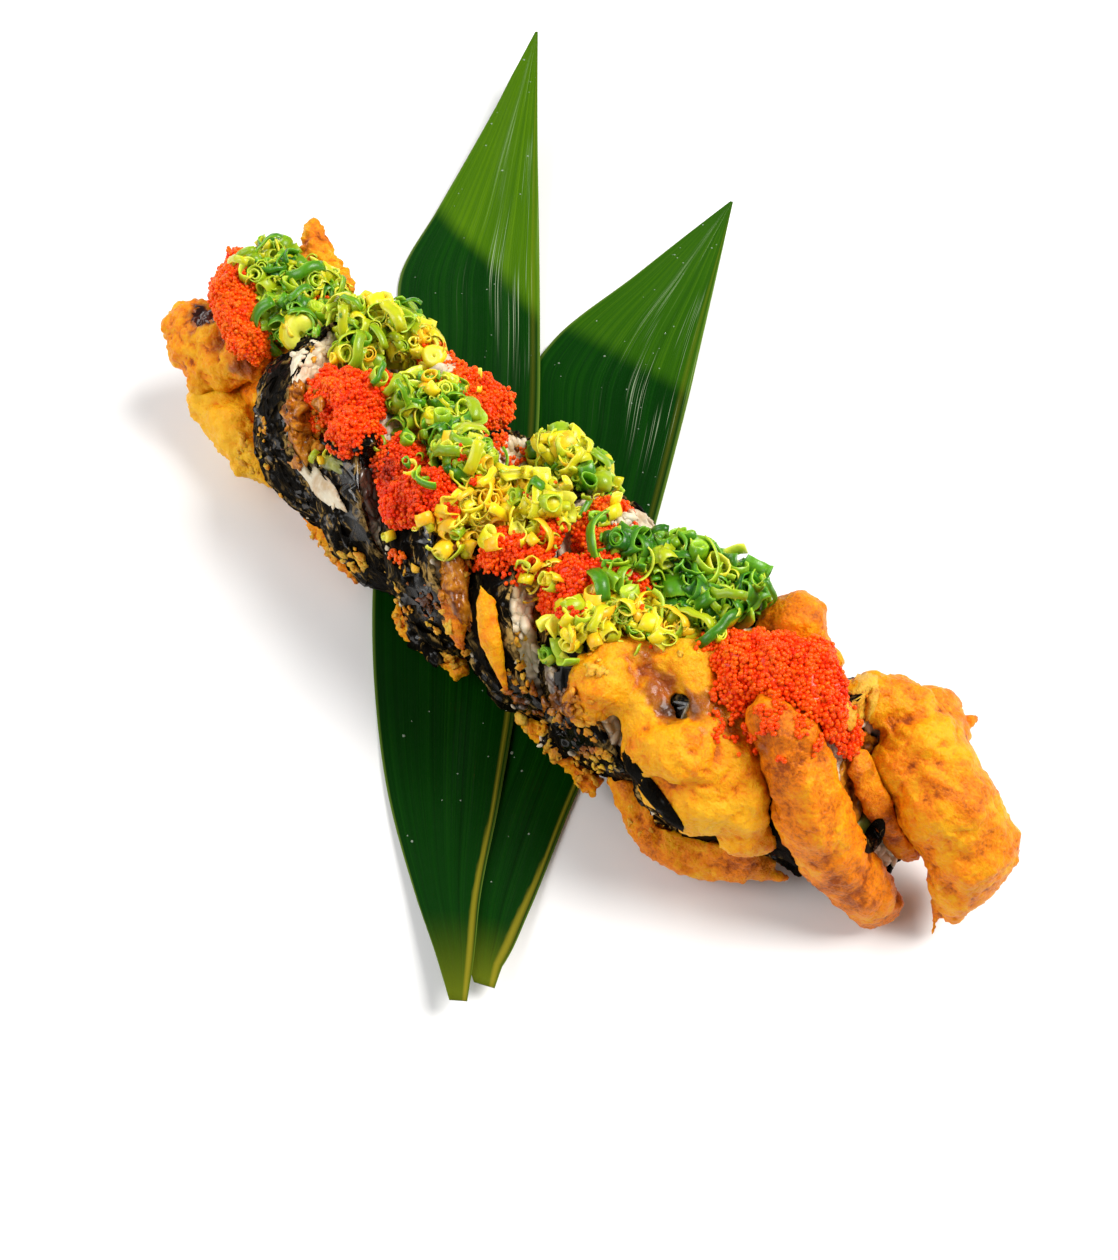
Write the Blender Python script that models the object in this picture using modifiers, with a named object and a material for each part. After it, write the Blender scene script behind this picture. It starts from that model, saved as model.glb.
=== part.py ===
"""Soft-shell crab futomaki: a fanned row of thick roll slices with fried crab, roe and scallion.

Units are metres, +Z is up. The row lies along X: the big crab claw points to +X and the small
crab pieces to -X. The two leaf blades lie flat under the middle of the row.
"""
import math
import random
from collections import namedtuple

import bmesh
import bpy
from mathutils import Matrix, Vector, noise

MM = 0.001
SEED = 41
GAP = 0.45 * MM  # air between two touching pieces

# Roll slices: one sheet of nori wraps a roll of this radius
ROLL_RADIUS = 29.0 * MM
NORI_THICKNESS = 0.9 * MM
SEGMENTS = 24
LEAF_THICKNESS = 0.5 * MM
ON_LEAF = 1.75 * MM
ON_FLOOR = 0.0

Slice = namedtuple("Slice", "x y lean yaw radius rest filling")
# x and y in mm, lean and yaw in degrees, radius and rest height in metres,
# filling: where the crab core sits in the cut face (y, z in mm)
SLICES = [
    Slice(-71, 6, 41, 16, 28.5 * MM, ON_LEAF, (-7, 7)),
    Slice(-42, 2, 39, 15, 28.5 * MM, ON_LEAF, (-6, 5)),
    Slice(-13, -1, 36, 12, ROLL_RADIUS, ON_LEAF, (-7, 5)),
    Slice(13, -1, 35, 10, ROLL_RADIUS, ON_LEAF, (-6, 5)),
    Slice(37, -1, 36, 9, 28.0 * MM, ON_FLOOR, (-2, 3)),
    Slice(62, 0, 37, 9, 26.5 * MM, ON_FLOOR, (0, 0)),
    Slice(89, 6, 34, 6, 23.0 * MM, ON_FLOOR, (-1, 1)),
]
MAX_HALF_WIDTH = 12.5 * MM
SLICE_CLEARANCE = 1.2 * MM
CORE_RADIUS = 13.0 * MM
RICE_BULGE = 0.4 * MM

# Fried crab in batter: balls (x, y, z, radius) in mm that the batter runs over
Mass = namedtuple("Mass", "faces balls")
CRAB = {
    "crab_body": Mass(700, [
        (36, -15, 49, 4.5), (39, -21, 47, 7.7), (39, -26, 42, 4.5), (49, -16, 45, 6), (56, -23, 41, 7.5),
        (63, -22, 45, 7.4), (65, -8, 42, 7.5), (70, -15, 40, 9), (71, -24, 35, 7.8), (62, -26.5, 33, 5.6),
        (71, -24, 35, 7.8), (77, -17, 37, 7.1), (81, -21, 28, 6), (84.5, -17.5, 25, 4.4), (70, -15, 38, 8), (59, -10, 48, 5.3), (52, -6, 50, 5.4), (45, -8, 48, 6),
        (38, -12, 48, 5.5), (46, -7, 48, 5), (54, 1, 51, 4.6)]),
    "crab_leg": Mass(330, [
        (74, -6, 52, 6), (79.5, -6, 50, 7.4), (84.5, -8, 44, 8.2), (89, -9.5, 39, 8.8),
        (93, -10.5, 33.5, 9), (100, -9.5, 23, 8.3), (107, -7.5, 14, 7.6), (113, -5, 7.5, 5.8),
        (111, -9, 6.5, 4)]),
    "crab_claw": Mass(460, [
        (82.5, 14, 43, 5.5), (86, 18, 42, 7), (93, 23, 39, 8), (99, 33, 34, 4.5), (101, 19, 37, 10),
        (111, 14, 32, 12), (121, 12, 25, 11), (124.5, 7, 15, 7), (100, 14, 35, 8.5),
        (104, 30, 31, 4), (124, 16, 15, 5), (127, 4, 9, 3.4)]),
    "crab_inner_leg": Mass(130, [
        (91.5, 4, 38, 4.8), (99.5, 4.2, 31, 5), (105.5, 5.5, 24, 4.8), (110.5, 7, 15.5, 4.4)]),
    "crab_knob": Mass(380, [
        (63, 21, 49, 7), (58, 20, 43, 6.5), (64, 20, 40, 7.5), (74, 17, 47, 4.2), (70, 14, 42, 7),
        (58, 8, 42, 8), (66, 8, 41, 9), (75, 9, 42, 8), (82, 4, 42, 7)]),
    "crab_flap": Mass(190, [
        (48.5, -22.5, 15, 4.2), (57, -26, 12, 5), (64, -27, 10.5, 5.4), (71, -25.5, 9.5, 5.6),
        (77, -22.5, 9.5, 5.8), (81, -18, 16, 4.8), (82, -18.5, 10, 5.4), (86.5, -15.5, 9, 3.4)]),
    "crab_tail_high": Mass(400, [
        (-137, 1, 30, 8.3), (-133, -6, 28, 6), (-125, 1, 31, 9), (-123, 8, 35, 7.6),
        (-112, 1, 33, 8), (-125, -7, 24, 6.5), (-141, -3, 31, 4), (-118, 10, 40, 6),
        (-128, 15, 37, 6.5), (-134, 19, 39, 4.5)]),
    "crab_tail_low": Mass(220, [
        (-123, -4, 20, 7.5), (-122, -8, 15, 8.4), (-109, -10, 14, 9.4), (-100, -12, 13, 8), (-92, -12, 11, 6)]),
    "crab_tail_core": Mass(240, [
        (-84, 4, 18, 12), (-94, 6, 22, 13), (-104, 6, 24, 11), (-100, 18, 32, 10)]),
    "crab_tail_spike": Mass(160, [
        (-123.5, 41, 49, 2.6), (-121, 38, 46, 4), (-117.5, 36, 43, 5.6), (-109, 31, 40, 6.4),
        (-112, 27, 37, 6.5), (-104, 33, 42, 3.4)]),
    "crab_bit_middle": Mass(110, [
        (-11, -17, 51, 4.3), (-7, -21, 46, 4.3), (-2, -25, 42, 4.4), (3, -28, 36, 3.8)]),
    "crab_bit_low": Mass(80, [(7, -24, 50, 2.8), (12, -28, 46, 3.4), (17, -31, 40, 2.8)]),
    "crust_first": Mass(90, [(-73, -14, 9, 4), (-66, -17, 8, 4.4), (-60, -18, 10, 3.6), (-51, -20, 8, 4)]),
    "crust_middle": Mass(90, [
        (-30, -23, 9, 3.8), (-23, -24, 12, 4), (-14, -25, 9, 4.4), (-6, -25, 11, 3.6)]),
    "crust_last": Mass(90, [
        (19, -25, 17, 4.2), (27, -26, 14, 4.6), (34, -26, 15, 3.8), (42, -27, 11, 4.4)]),
}
BATTER_CRAG = 0.9 * MM

# Heaps on top, also balls (x, y, z, radius) in mm
ROE = {
    "roe_tail": Mass(260, [(-131, 18, 46, 4.5), (-122, 9, 44, 8.3), (-110, 2, 40, 7)]),
    "roe_second": Mass(260, [
        (-68, -3, 50, 7.2), (-56, -2, 55, 8), (-55, 4, 56, 5.4), (-50, -11, 55, 6.7), (-66, -9, 44, 4.4)]),
    "roe_third": Mass(240, [(-36, -8, 51, 7.8), (-26, -17, 53, 6.5), (-20, -14, 58, 7), (-16, -10, 55, 5)]),
    "roe_far": Mass(240, [
        (-62, 27, 46, 4.4), (-52, 26, 47, 4.4), (-39, 24, 46, 7.3), (-37, 18, 48, 6), (-21, 14, 54, 7.3),
        (-9, 12, 50, 5.7)]),
    "roe_middle": Mass(120, [(1, -12, 54, 5.4), (8, -10, 55, 5), (6, -3, 55, 4.6)]),
    "roe_ridge": Mass(100, [(12, 14, 50, 6), (13, 6, 51, 5.2)]),
    "roe_fifth": Mass(180, [(20, -13, 48, 5), (20, -8, 52, 7.3), (23, -2, 54, 5.8), (30, 1, 52, 5)]),
    "roe_mound": Mass(380, [
        (58, 1, 50, 6.8), (66, 2, 51, 10), (72, 10, 51, 7.6), (79, 3, 51, 7.6), (87, 4, 45, 5),
        (63, -5, 49, 6)]),
}
ROE_GRAIN = 0.5 * MM

SCALLION = {
    "scallion_first": Mass(600, [
        (-126, 27, 45, 4.6), (-119, 17, 45, 7), (-112, 23, 43, 7.7), (-104, 27, 43, 6), (-112, 10, 42, 6),
        (-100, 14, 44, 6.5)]),
    "scallion_second": Mass(400, [
        (-82, 18, 52, 6.2), (-75, 26, 47, 7.5), (-67, 27, 47, 5.4), (-75, 12, 49, 5.6)]),
    "scallion_third": Mass(500, [
        (-51, 4, 55, 5.2), (-46, 12, 50, 8), (-39, 11, 49, 6.6), (-30, 4, 52, 6.4), (-21, -2, 59, 6.8)]),
    "scallion_fourth": Mass(440, [
        (-16, -15, 57, 4.4), (-13, -7, 54, 6.5), (-8, 0, 53, 6.6), (4, 0, 58, 4.8)]),
    "scallion_far": Mass(330, [(-12, 20, 49, 6.4), (-4, 22, 48, 5.8), (3, 20, 48, 5), (5, 7, 55, 5)]),
    "scallion_fifth": Mass(300, [(29, -15, 53, 5.6), (34, -6, 50, 5.8), (43, -2, 49, 4.6)]),
    "scallion_last": Mass(700, [
        (25, 5, 54, 5.8), (31, 11, 51, 6.6), (38, 13, 51, 7.2), (47, 17, 48, 7), (46, 5, 51, 5.8),
        (48, 11, 50, 5.8), (37, 6, 47, 7)]),
}
RING_RADIUS = 3.0 * MM
RING_WALL = 0.8 * MM
RING_SIDES = 6
CORE_SHARE = 0.3  # of a scallion heap's triangles, before its rings are joined on

# Leaf blades: base and tip (x, y in mm), then stations along the blade with the distance
# of the left and the right edge from the base-to-tip line, all in mm
Blade = namedtuple("Blade", "base tip stations over")
LEAVES = {
    "leaf_left": Blade(
        (54.5, -87), (-180.5, 200),
        [(0, 1.2, 1.2), (10, 5, 1.6), (26, 12, 2.5), (53, 22.5, 5.9), (85, 30, 8.6),
         (113, 34, 9.2), (150, 36, 9.6), (191, 38, 9.5), (221, 39, 8.2), (248, 41, 6.8),
         (280, 31, 5), (309, 21.2, 3.3), (345, 9, 1.6), (371, 0.5, 0.5)],
        True),
    "leaf_right": Blade(
        (58, -79), (-65.5, 173.5),
        [(0, 1.6, 1.2), (20, 11.5, 2.2), (47, 16, 4.4), (61, 18, 5.7), (80, 21, 5.8),
         (110, 27.5, 5.6), (144, 35.5, 5.1), (175, 42, 4.5), (198, 47, 3.9), (210, 44, 3.4),
         (245, 23.5, 2), (281, 0.5, 0.5)],
        False),
}
LEAF_COLUMNS = 6
LEAF_FLAT_FRONT = -46.0 * MM
LEAF_FLAT_BACK = 66.0 * MM

FINISHES = {
    "nori": ((0.011, 0.014, 0.010), 0.32),
    "rice": ((0.72, 0.66, 0.53), 0.55),
    "filling": ((0.42, 0.17, 0.04), 0.5),
    "avocado": ((0.36, 0.42, 0.09), 0.45),
    "batter": ((0.84, 0.38, 0.045), 0.5),
    "roe": ((0.90, 0.085, 0.008), 0.25),
    "scallion": ((0.28, 0.50, 0.045), 0.4),
    "leaf": ((0.030, 0.150, 0.012), 0.35),
}


# ---------------------------------------------------------------- scene helpers

def clear_scene():
    for obj in list(bpy.data.objects):
        bpy.data.objects.remove(obj, do_unlink=True)


def new_collection(name):
    collection = bpy.data.collections.new(name)
    bpy.context.scene.collection.children.link(collection)
    return collection


def make_finish(name):
    colour, roughness = FINISHES[name]
    finish = bpy.data.materials.new(name)
    finish.use_nodes = True
    shader = finish.node_tree.nodes["Principled BSDF"]
    shader.inputs["Base Color"].default_value = (*colour, 1.0)
    shader.inputs["Roughness"].default_value = roughness
    shader.inputs["Metallic"].default_value = 0.0
    finish.diffuse_color = (*colour, 1.0)
    return finish


def to_object(name, bm, collection, finish=None):
    """Link a finished bmesh as one object whose origin is the world's."""
    bmesh.ops.recalc_face_normals(bm, faces=bm.faces[:])
    mesh = bpy.data.meshes.new(name)
    bm.to_mesh(mesh)
    bm.free()
    obj = bpy.data.objects.new(name, mesh)
    collection.objects.link(obj)
    if finish:
        mesh.materials.append(finish)
    return obj


def apply_modifiers(obj):
    """Swap the object's mesh for the one that its modifiers give."""
    bpy.context.view_layer.update()
    graph = bpy.context.evaluated_depsgraph_get()
    finished = bpy.data.meshes.new_from_object(obj.evaluated_get(graph))
    obj.modifiers.clear()
    obj.data = finished


def edit(obj, change):
    """Run change(bm) on the object's mesh."""
    bm = bmesh.new()
    bm.from_mesh(obj.data)
    change(bm)
    bm.to_mesh(obj.data)
    bm.free()


def millimetres(*values):
    return Vector([value * MM for value in values])


# ---------------------------------------------------------------- lofts

def loft(rings, name, collection, finish, hollow=False):
    """Skin rings of equally many points; a hollow loft closes on itself, another is capped."""
    bm = bmesh.new()
    rows = [[bm.verts.new(point) for point in ring] for ring in rings]
    pairs = list(zip(rows, rows[1:]))
    if hollow:
        pairs.append((rows[-1], rows[0]))
    for first, second in pairs:
        for here in range(len(first)):
            after = (here + 1) % len(first)
            bm.faces.new((first[here], first[after], second[after], second[here]))
    if not hollow:
        caps = [bm.faces.new(rows[0][::-1]), bm.faces.new(rows[-1])]
        bmesh.ops.poke(bm, faces=caps)
    bmesh.ops.triangulate(bm, faces=bm.faces[:])
    return to_object(name, bm, collection, finish)


def clip(points, side, limit):
    """Keep the part of a polygon in the face plane with side * z above limit."""
    kept = []
    for index, point in enumerate(points):
        before = points[index - 1]
        inside = side * point[1] >= limit
        was_inside = side * before[1] >= limit
        if inside != was_inside:
            share = (side * limit - before[1]) / (point[1] - before[1])
            kept.append((before[0] + share * (point[0] - before[0]), side * limit))
        if inside:
            kept.append(point)
    return kept


# ---------------------------------------------------------------- slices

def slice_axes(piece):
    """Rotation that takes the slice's own axes (through, across, up) to the world's."""
    lean = Matrix.Rotation(-math.radians(piece.lean), 3, "Y")
    yaw = Matrix.Rotation(math.radians(piece.yaw), 3, "Z")
    return yaw @ lean


def edge_radius(piece, angle, station):
    """Uneven radius of the slice's rim; station runs from -1 to 1 through the slice."""
    phase = piece.x * 0.37
    wobble = 0.022 * math.sin(2 * angle + phase) + 0.014 * math.sin(3 * angle + 2 * phase)
    dent = 0.30 * MM * math.sin(7 * angle + 2.1 * station + phase)
    swell = 0.5 * MM * (1 - station * station)
    return piece.radius * (1 + wobble) + dent + swell


def face_angles():
    return [2 * math.pi * index / SEGMENTS for index in range(SEGMENTS)]


def rim_ring(piece, through, station, inset):
    """Points of the slice's rim in its own axes, at one depth through it."""
    ring = []
    for angle in face_angles():
        radius = edge_radius(piece, angle, station) - inset
        ring.append(Vector((through, radius * math.sin(angle), radius * math.cos(angle))))
    return ring


def hole_ring(piece, inset=0.0):
    """Outline (y, z) of the hole in the rice that the filling sits in."""
    points = []
    for angle in face_angles():
        lobes = 1 + 0.10 * math.sin(3 * angle + piece.x) + 0.06 * math.sin(5 * angle)
        radius = CORE_RADIUS * lobes - inset
        points.append((piece.filling[0] * MM + radius * math.sin(angle),
                       piece.filling[1] * MM + radius * math.cos(angle)))
    return points


def half_widths():
    """Half thickness of each slice, from the room that its neighbours leave it."""
    rooms = []
    for left, right in zip(SLICES, SLICES[1:]):
        normal = slice_axes(right) @ Vector((1, 0, 0))
        step = millimetres(right.x - left.x, right.y - left.y, 0)
        axes = slice_axes(left)
        nearest = min((step - axes @ point).dot(normal) for point in rim_ring(left, 0.0, 0.0, 0.0))
        rooms.append(nearest - SLICE_CLEARANCE)
    sides = [MAX_HALF_WIDTH * 2] + rooms + [MAX_HALF_WIDTH * 2]
    return [min(MAX_HALF_WIDTH, before / 2, after / 2) for before, after in zip(sides, sides[1:])]


def slice_place(piece, half):
    """World matrix that stands the slice on its rest height."""
    turn = slice_axes(piece)
    rim = rim_ring(piece, -half, -1.0, 0.0) + rim_ring(piece, half, 1.0, 0.0)
    rim += rim_ring(piece, 0.0, 0.0, 0.0)
    lowest = min((turn @ point).z for point in rim)
    place = turn.to_4x4()
    place.translation = (piece.x * MM, piece.y * MM, piece.rest - lowest)
    return place


def placed(place, points):
    return [place @ point for point in points]


def nori_band(piece, half, place, name, collection, finish):
    stations = (-1.0, 0.0, 1.0)
    outer = [rim_ring(piece, half * station, station, 0.0) for station in stations]
    inner = [rim_ring(piece, half * station, station, NORI_THICKNESS) for station in (1.0, -1.0)]
    rings = [placed(place, ring) for ring in outer + inner]
    return loft(rings, name, collection, finish, hollow=True)


def rice_ring(piece, half, place, name, collection, finish):
    inset = NORI_THICKNESS + GAP
    outer_left = rim_ring(piece, -half, -1.0, inset)
    outer_right = rim_ring(piece, half, 1.0, inset)
    hole = hole_ring(piece)
    middle = []
    for index, (edge, (y, z)) in enumerate(zip(outer_right, hole)):
        bulge = RICE_BULGE * math.sin(5.3 * index + piece.x)
        middle.append(((edge.y + y) / 2, (edge.z + z) / 2, bulge))
    face_right = [Vector((half + bulge, y, z)) for y, z, bulge in middle]
    face_left = [Vector((-half + bulge, y, z)) for y, z, bulge in middle]
    hole_right = [Vector((half, y, z)) for y, z in hole]
    hole_left = [Vector((-half, y, z)) for y, z in hole]
    rings = [outer_left, outer_right, face_right, hole_right, hole_left, face_left]
    rings = [placed(place, ring) for ring in rings]
    return loft(rings, name, collection, finish, hollow=True)


def filling_strip(piece, half, place, side, name, collection, finish):
    """Crab (side 1) or avocado (side -1): one part of the filling, run through the slice."""
    split = piece.filling[1] * MM - 4.0 * MM
    outline = clip(hole_ring(piece, GAP), side, side * split + GAP / 2)
    left = [Vector((-half, y, z)) for y, z in outline]
    right = [Vector((half, y, z)) for y, z in outline]
    rings = [placed(place, ring) for ring in (left, right)]
    return loft(rings, name, collection, finish)


def slice_cutter(piece, half, place, name, collection):
    """Filled slice, grown by the gap, that keeps other pieces clear of it."""
    grown = half + GAP + RICE_BULGE
    rings = []
    for station in (-1.0, 0.0, 1.0):
        ring = rim_ring(piece, grown * station, station, -GAP)
        rings.append(placed(place, ring))
    return loft(rings, name, collection, None)


def build_slices(parts, cutters, finishes):
    made = []
    for number, (piece, half) in enumerate(zip(SLICES, half_widths()), start=1):
        place = slice_place(piece, half)
        args = (piece, half, place)
        nori_band(*args, f"nori_{number}", parts, finishes["nori"])
        rice_ring(*args, f"rice_{number}", parts, finishes["rice"])
        filling_strip(*args, 1, f"crab_filling_{number}", parts, finishes["filling"])
        filling_strip(*args, -1, f"avocado_{number}", parts, finishes["avocado"])
        made.append(slice_cutter(*args, f"cut_slice_{number}", cutters))
    return made


# ---------------------------------------------------------------- rounded masses

def ball_mass(name, balls, collection, finish, faces, crag, voxel=1.3 * MM, pitch=6.0 * MM):
    """One closed lump that runs over the balls (centre, radius), with an uneven skin."""
    bm = bmesh.new()
    for (first, small), (second, large) in zip(balls, balls[1:] + balls[-1:]):
        for share in (0.0, 0.5):
            if share and (first - second).length > 1.3 * (small + large):
                continue
            centre = first.lerp(second, share)
            radius = small + share * (large - small)
            bmesh.ops.create_icosphere(bm, subdivisions=2, radius=radius,
                                       matrix=Matrix.Translation(centre))
    obj = to_object(name, bm, collection, finish)
    remesh = obj.modifiers.new("Join", "REMESH")
    remesh.mode = "VOXEL"
    remesh.voxel_size = voxel
    smooth = obj.modifiers.new("Soften", "SMOOTH")
    smooth.iterations = 5
    apply_modifiers(obj)
    edit(obj, lambda bm: roughen(bm, crag, pitch))
    thin(obj, faces)
    return obj


def roughen(bm, crag, pitch):
    bm.normal_update()
    moves = []
    for vert in bm.verts:
        wave = noise.noise(vert.co / pitch) + 0.5 * noise.noise(vert.co / (0.4 * pitch))
        moves.append(vert.normal * crag * wave)
    for vert, move in zip(bm.verts, moves):
        vert.co += move


def thin(obj, faces):
    """Bring a dense mesh down to about this many triangles."""
    now = sum(len(polygon.vertices) - 2 for polygon in obj.data.polygons)
    decimate = obj.modifiers.new("Thin", "DECIMATE")
    decimate.ratio = min(1.0, faces / now)
    decimate.use_collapse_triangulate = True
    apply_modifiers(obj)


def grown_copy(obj, collection, amount=GAP):
    """Copy of a lump with its skin moved outwards, used to cut the next pieces."""
    copy = bpy.data.objects.new("cut_" + obj.name, obj.data.copy())
    copy.data.materials.clear()
    collection.objects.link(copy)

    def grow(bm):
        bm.normal_update()
        moves = [vert.normal * amount * min(1.6, vert.calc_shell_factor()) for vert in bm.verts]
        for vert, move in zip(bm.verts, moves):
            vert.co += move

    edit(copy, grow)
    return copy


def box_of(obj):
    xs, ys, zs = zip(*(vert.co for vert in obj.data.vertices))
    return (min(xs), min(ys), min(zs)), (max(xs), max(ys), max(zs))


def boxes_touch(one, other):
    (low_a, high_a), (low_b, high_b) = box_of(one), box_of(other)
    return all(low_a[i] < high_b[i] and low_b[i] < high_a[i] for i in range(3))


def combine(obj, others, operation):
    for other in others:
        boolean = obj.modifiers.new(other.name, "BOOLEAN")
        boolean.operation = operation
        boolean.solver = "MANIFOLD"
        boolean.object = other
    apply_modifiers(obj)


def shell_area(shell):
    return sum(face.calc_area() for face in {face for vert in shell for face in vert.link_faces})


def keep_largest(bm):
    """Drop the loose scraps that cutting leaves."""
    left = set(bm.verts)
    shells = []
    while left:
        stack = [left.pop()]
        shell = set(stack)
        while stack:
            for edge in stack.pop().link_edges:
                for vert in edge.verts:
                    if vert in left:
                        left.discard(vert)
                        shell.add(vert)
                        stack.append(vert)
        shells.append(shell)
    shells.sort(key=shell_area)
    scraps = [vert for shell in shells[:-1] for vert in shell]
    bmesh.ops.delete(bm, geom=scraps, context="VERTS")


def carve(obj, below, finish, faces):
    """Cut away what other pieces fill, and keep one clean body of about this many triangles."""
    combine(obj, [cutter for cutter in below if boxes_touch(obj, cutter)], "DIFFERENCE")

    def clean(bm):
        bmesh.ops.triangulate(bm, faces=bm.faces[:])
        keep_largest(bm)

    edit(obj, clean)
    thin(obj, faces)
    obj.data.materials.clear()
    obj.data.materials.append(finish)


def build_crab(parts, cutters, below, finishes):
    for name, mass in CRAB.items():
        lump = ball_mass(name, mass_balls(mass), parts, finishes["batter"], mass.faces, BATTER_CRAG)
        cutter = grown_copy(lump, cutters)
        carve(lump, below, finishes["batter"], mass.faces)
        below.append(cutter)


# ---------------------------------------------------------------- heaps on top

def mass_balls(mass):
    return [(millimetres(x, y, z), radius * MM) for x, y, z, radius in mass.balls]


def build_roe(parts, cutters, below, finishes):
    for name, mass in ROE.items():
        heap = ball_mass(name, mass_balls(mass), parts, finishes["roe"], mass.faces, ROE_GRAIN,
                         voxel=0.9 * MM, pitch=2.6 * MM)
        cutter = grown_copy(heap, cutters)
        carve(heap, below, finishes["roe"], mass.faces)
        below.append(cutter)


def scallion_ring(bm, place, radius, height, hollow):
    """One cut slice of scallion: a short tube, or a solid disc."""
    if hollow:
        bmesh.ops.create_circle(bm, segments=RING_SIDES, radius=radius, matrix=place)
        outer = [vert for vert in bm.verts if not vert.link_faces and len(vert.link_edges) == 2]
        edges = list({edge for vert in outer for edge in vert.link_edges})
        grown = bmesh.ops.extrude_edge_only(bm, edges=edges)
        inner = [item for item in grown["geom"] if isinstance(item, bmesh.types.BMVert)]
        middle = place.translation
        for vert in inner:
            vert.co = middle + (vert.co - middle) * (1 - 2.2 * RING_WALL / radius)
        sheet = [item for item in grown["geom"] if isinstance(item, bmesh.types.BMFace)]
        raised = bmesh.ops.extrude_face_region(bm, geom=sheet, use_keep_orig=True)
        lift = place.to_3x3() @ Vector((0, 0, height))
        verts = [item for item in raised["geom"] if isinstance(item, bmesh.types.BMVert)]
        bmesh.ops.translate(bm, verts=verts, vec=lift)
    else:
        shift = Matrix.Translation((0, 0, height / 2))
        bmesh.ops.create_cone(bm, cap_ends=True, segments=RING_SIDES, radius1=radius, radius2=radius,
                              depth=height, matrix=place @ shift)


def scallion_pieces(rng, balls, name, collection):
    """Rings and discs that stand out of the heap, each a closed solid of its own."""
    pieces = []
    for index, (centre, spread) in enumerate(balls):
        for hollow in ([True, False] if index % 2 else [True]):
            outward = Vector((rng.uniform(-0.7, 0.7), rng.uniform(-1.0, 0.3), 1.0)).normalized()
            spin = Matrix.Rotation(rng.uniform(0, 6.28), 4, "Z")
            tilt = outward.to_track_quat("Z", "Y").to_matrix().to_4x4()
            spot = Matrix.Translation(centre + outward * (spread - 1.1 * MM))
            bm = bmesh.new()
            radius = RING_RADIUS * rng.uniform(0.8, 1.2)
            scallion_ring(bm, spot @ tilt @ spin, radius, rng.uniform(1.8, 2.6) * MM, hollow)
            pieces.append(to_object(f"{name}_ring_{index}_{hollow}", bm, collection))
    return pieces


def build_scallion(parts, cutters, below, finishes):
    rng = random.Random(SEED)
    for name, mass in SCALLION.items():
        balls = mass_balls(mass)
        heap = ball_mass(name, balls, parts, finishes["scallion"], mass.faces * CORE_SHARE,
                         0.6 * MM, voxel=1.1 * MM, pitch=4.0 * MM)
        pieces = scallion_pieces(rng, balls, name, cutters)
        combine(heap, pieces, "UNION")
        for piece in pieces:
            bpy.data.objects.remove(piece, do_unlink=True)
        cutter = grown_copy(heap, cutters)
        carve(heap, below, finishes["scallion"], mass.faces)
        below.append(cutter)


# ---------------------------------------------------------------- leaf blades

def leaf_lift(point):
    """Height that both blades share: flat under the row, rising gently to the ends."""
    front = max(0.0, LEAF_FLAT_FRONT - point.y)
    back = max(0.0, point.y - LEAF_FLAT_BACK)
    rise = 7.0 * MM * (front / (40 * MM)) ** 1.7 + 14.0 * MM * (back / (134 * MM)) ** 1.5
    wave = math.sin(point.x / (17 * MM) + point.y / (29 * MM))
    return rise * (1 + 0.14 * wave)


def blade_point(blade, along, station, share):
    """Point of the blade's underside: share runs from the left edge (0) to the right (1)."""
    base = millimetres(*blade.base, 0)
    across = Vector((-along.y, along.x, 0))
    distance, left, right = station
    offset = left + share * (-right - left)
    point = base + along * distance * MM + across * offset * MM
    point.z = leaf_lift(point)
    if blade.over:
        from_right = (offset + right) * MM
        overlap = min(1.0, max(0.0, (16 * MM - from_right) / (8 * MM)))
        point.z += (LEAF_THICKNESS + GAP) * overlap * overlap * (3 - 2 * overlap)
    return point


def leaf_blade(name, blade, collection, finish):
    """A thin closed blade whose two faces are split into triangles alike."""
    base = Vector((*blade.base, 0))
    along = (Vector((*blade.tip, 0)) - base).normalized()
    shares = [index / (LEAF_COLUMNS - 1) for index in range(LEAF_COLUMNS)]
    bm = bmesh.new()
    rows = []
    for station in blade.stations:
        rows.append([bm.verts.new(blade_point(blade, along, station, share)) for share in shares])
    for low, high in zip(rows, rows[1:]):
        for left in range(LEAF_COLUMNS - 1):
            bm.faces.new((low[left], low[left + 1], high[left + 1]))
            bm.faces.new((low[left], high[left + 1], high[left]))
    top = bmesh.ops.extrude_face_region(bm, geom=bm.faces[:], use_keep_orig=True)
    verts = [item for item in top["geom"] if isinstance(item, bmesh.types.BMVert)]
    bmesh.ops.translate(bm, verts=verts, vec=(0, 0, LEAF_THICKNESS))
    bmesh.ops.triangulate(bm, faces=bm.faces[:])
    return to_object(name, bm, collection, finish)


def build_leaves(parts, cutters, finishes):
    made = []
    for name, blade in LEAVES.items():
        leaf = leaf_blade(name, blade, parts, finishes["leaf"])
        made.append(grown_copy(leaf, cutters))
    return made


# ---------------------------------------------------------------- assembly

def centre_on_floor(parts):
    """Put the middle of the whole object's box over the origin, with its lowest point at z = 0."""
    corners = [box_of(obj) for obj in parts.objects]
    low = Vector([min(low[i] for low, high in corners) for i in range(3)])
    high = Vector([max(high[i] for low, high in corners) for i in range(3)])
    shift = Vector((-(low.x + high.x) / 2, -(low.y + high.y) / 2, -low.z))
    for obj in parts.objects:
        obj.data.transform(Matrix.Translation(shift))
    return shift, high - low


def shade(parts):
    for obj in parts.objects:
        smooth = not obj.name.startswith("leaf")
        obj.data.polygons.foreach_set("use_smooth", [smooth] * len(obj.data.polygons))
        obj.data.update()


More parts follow.
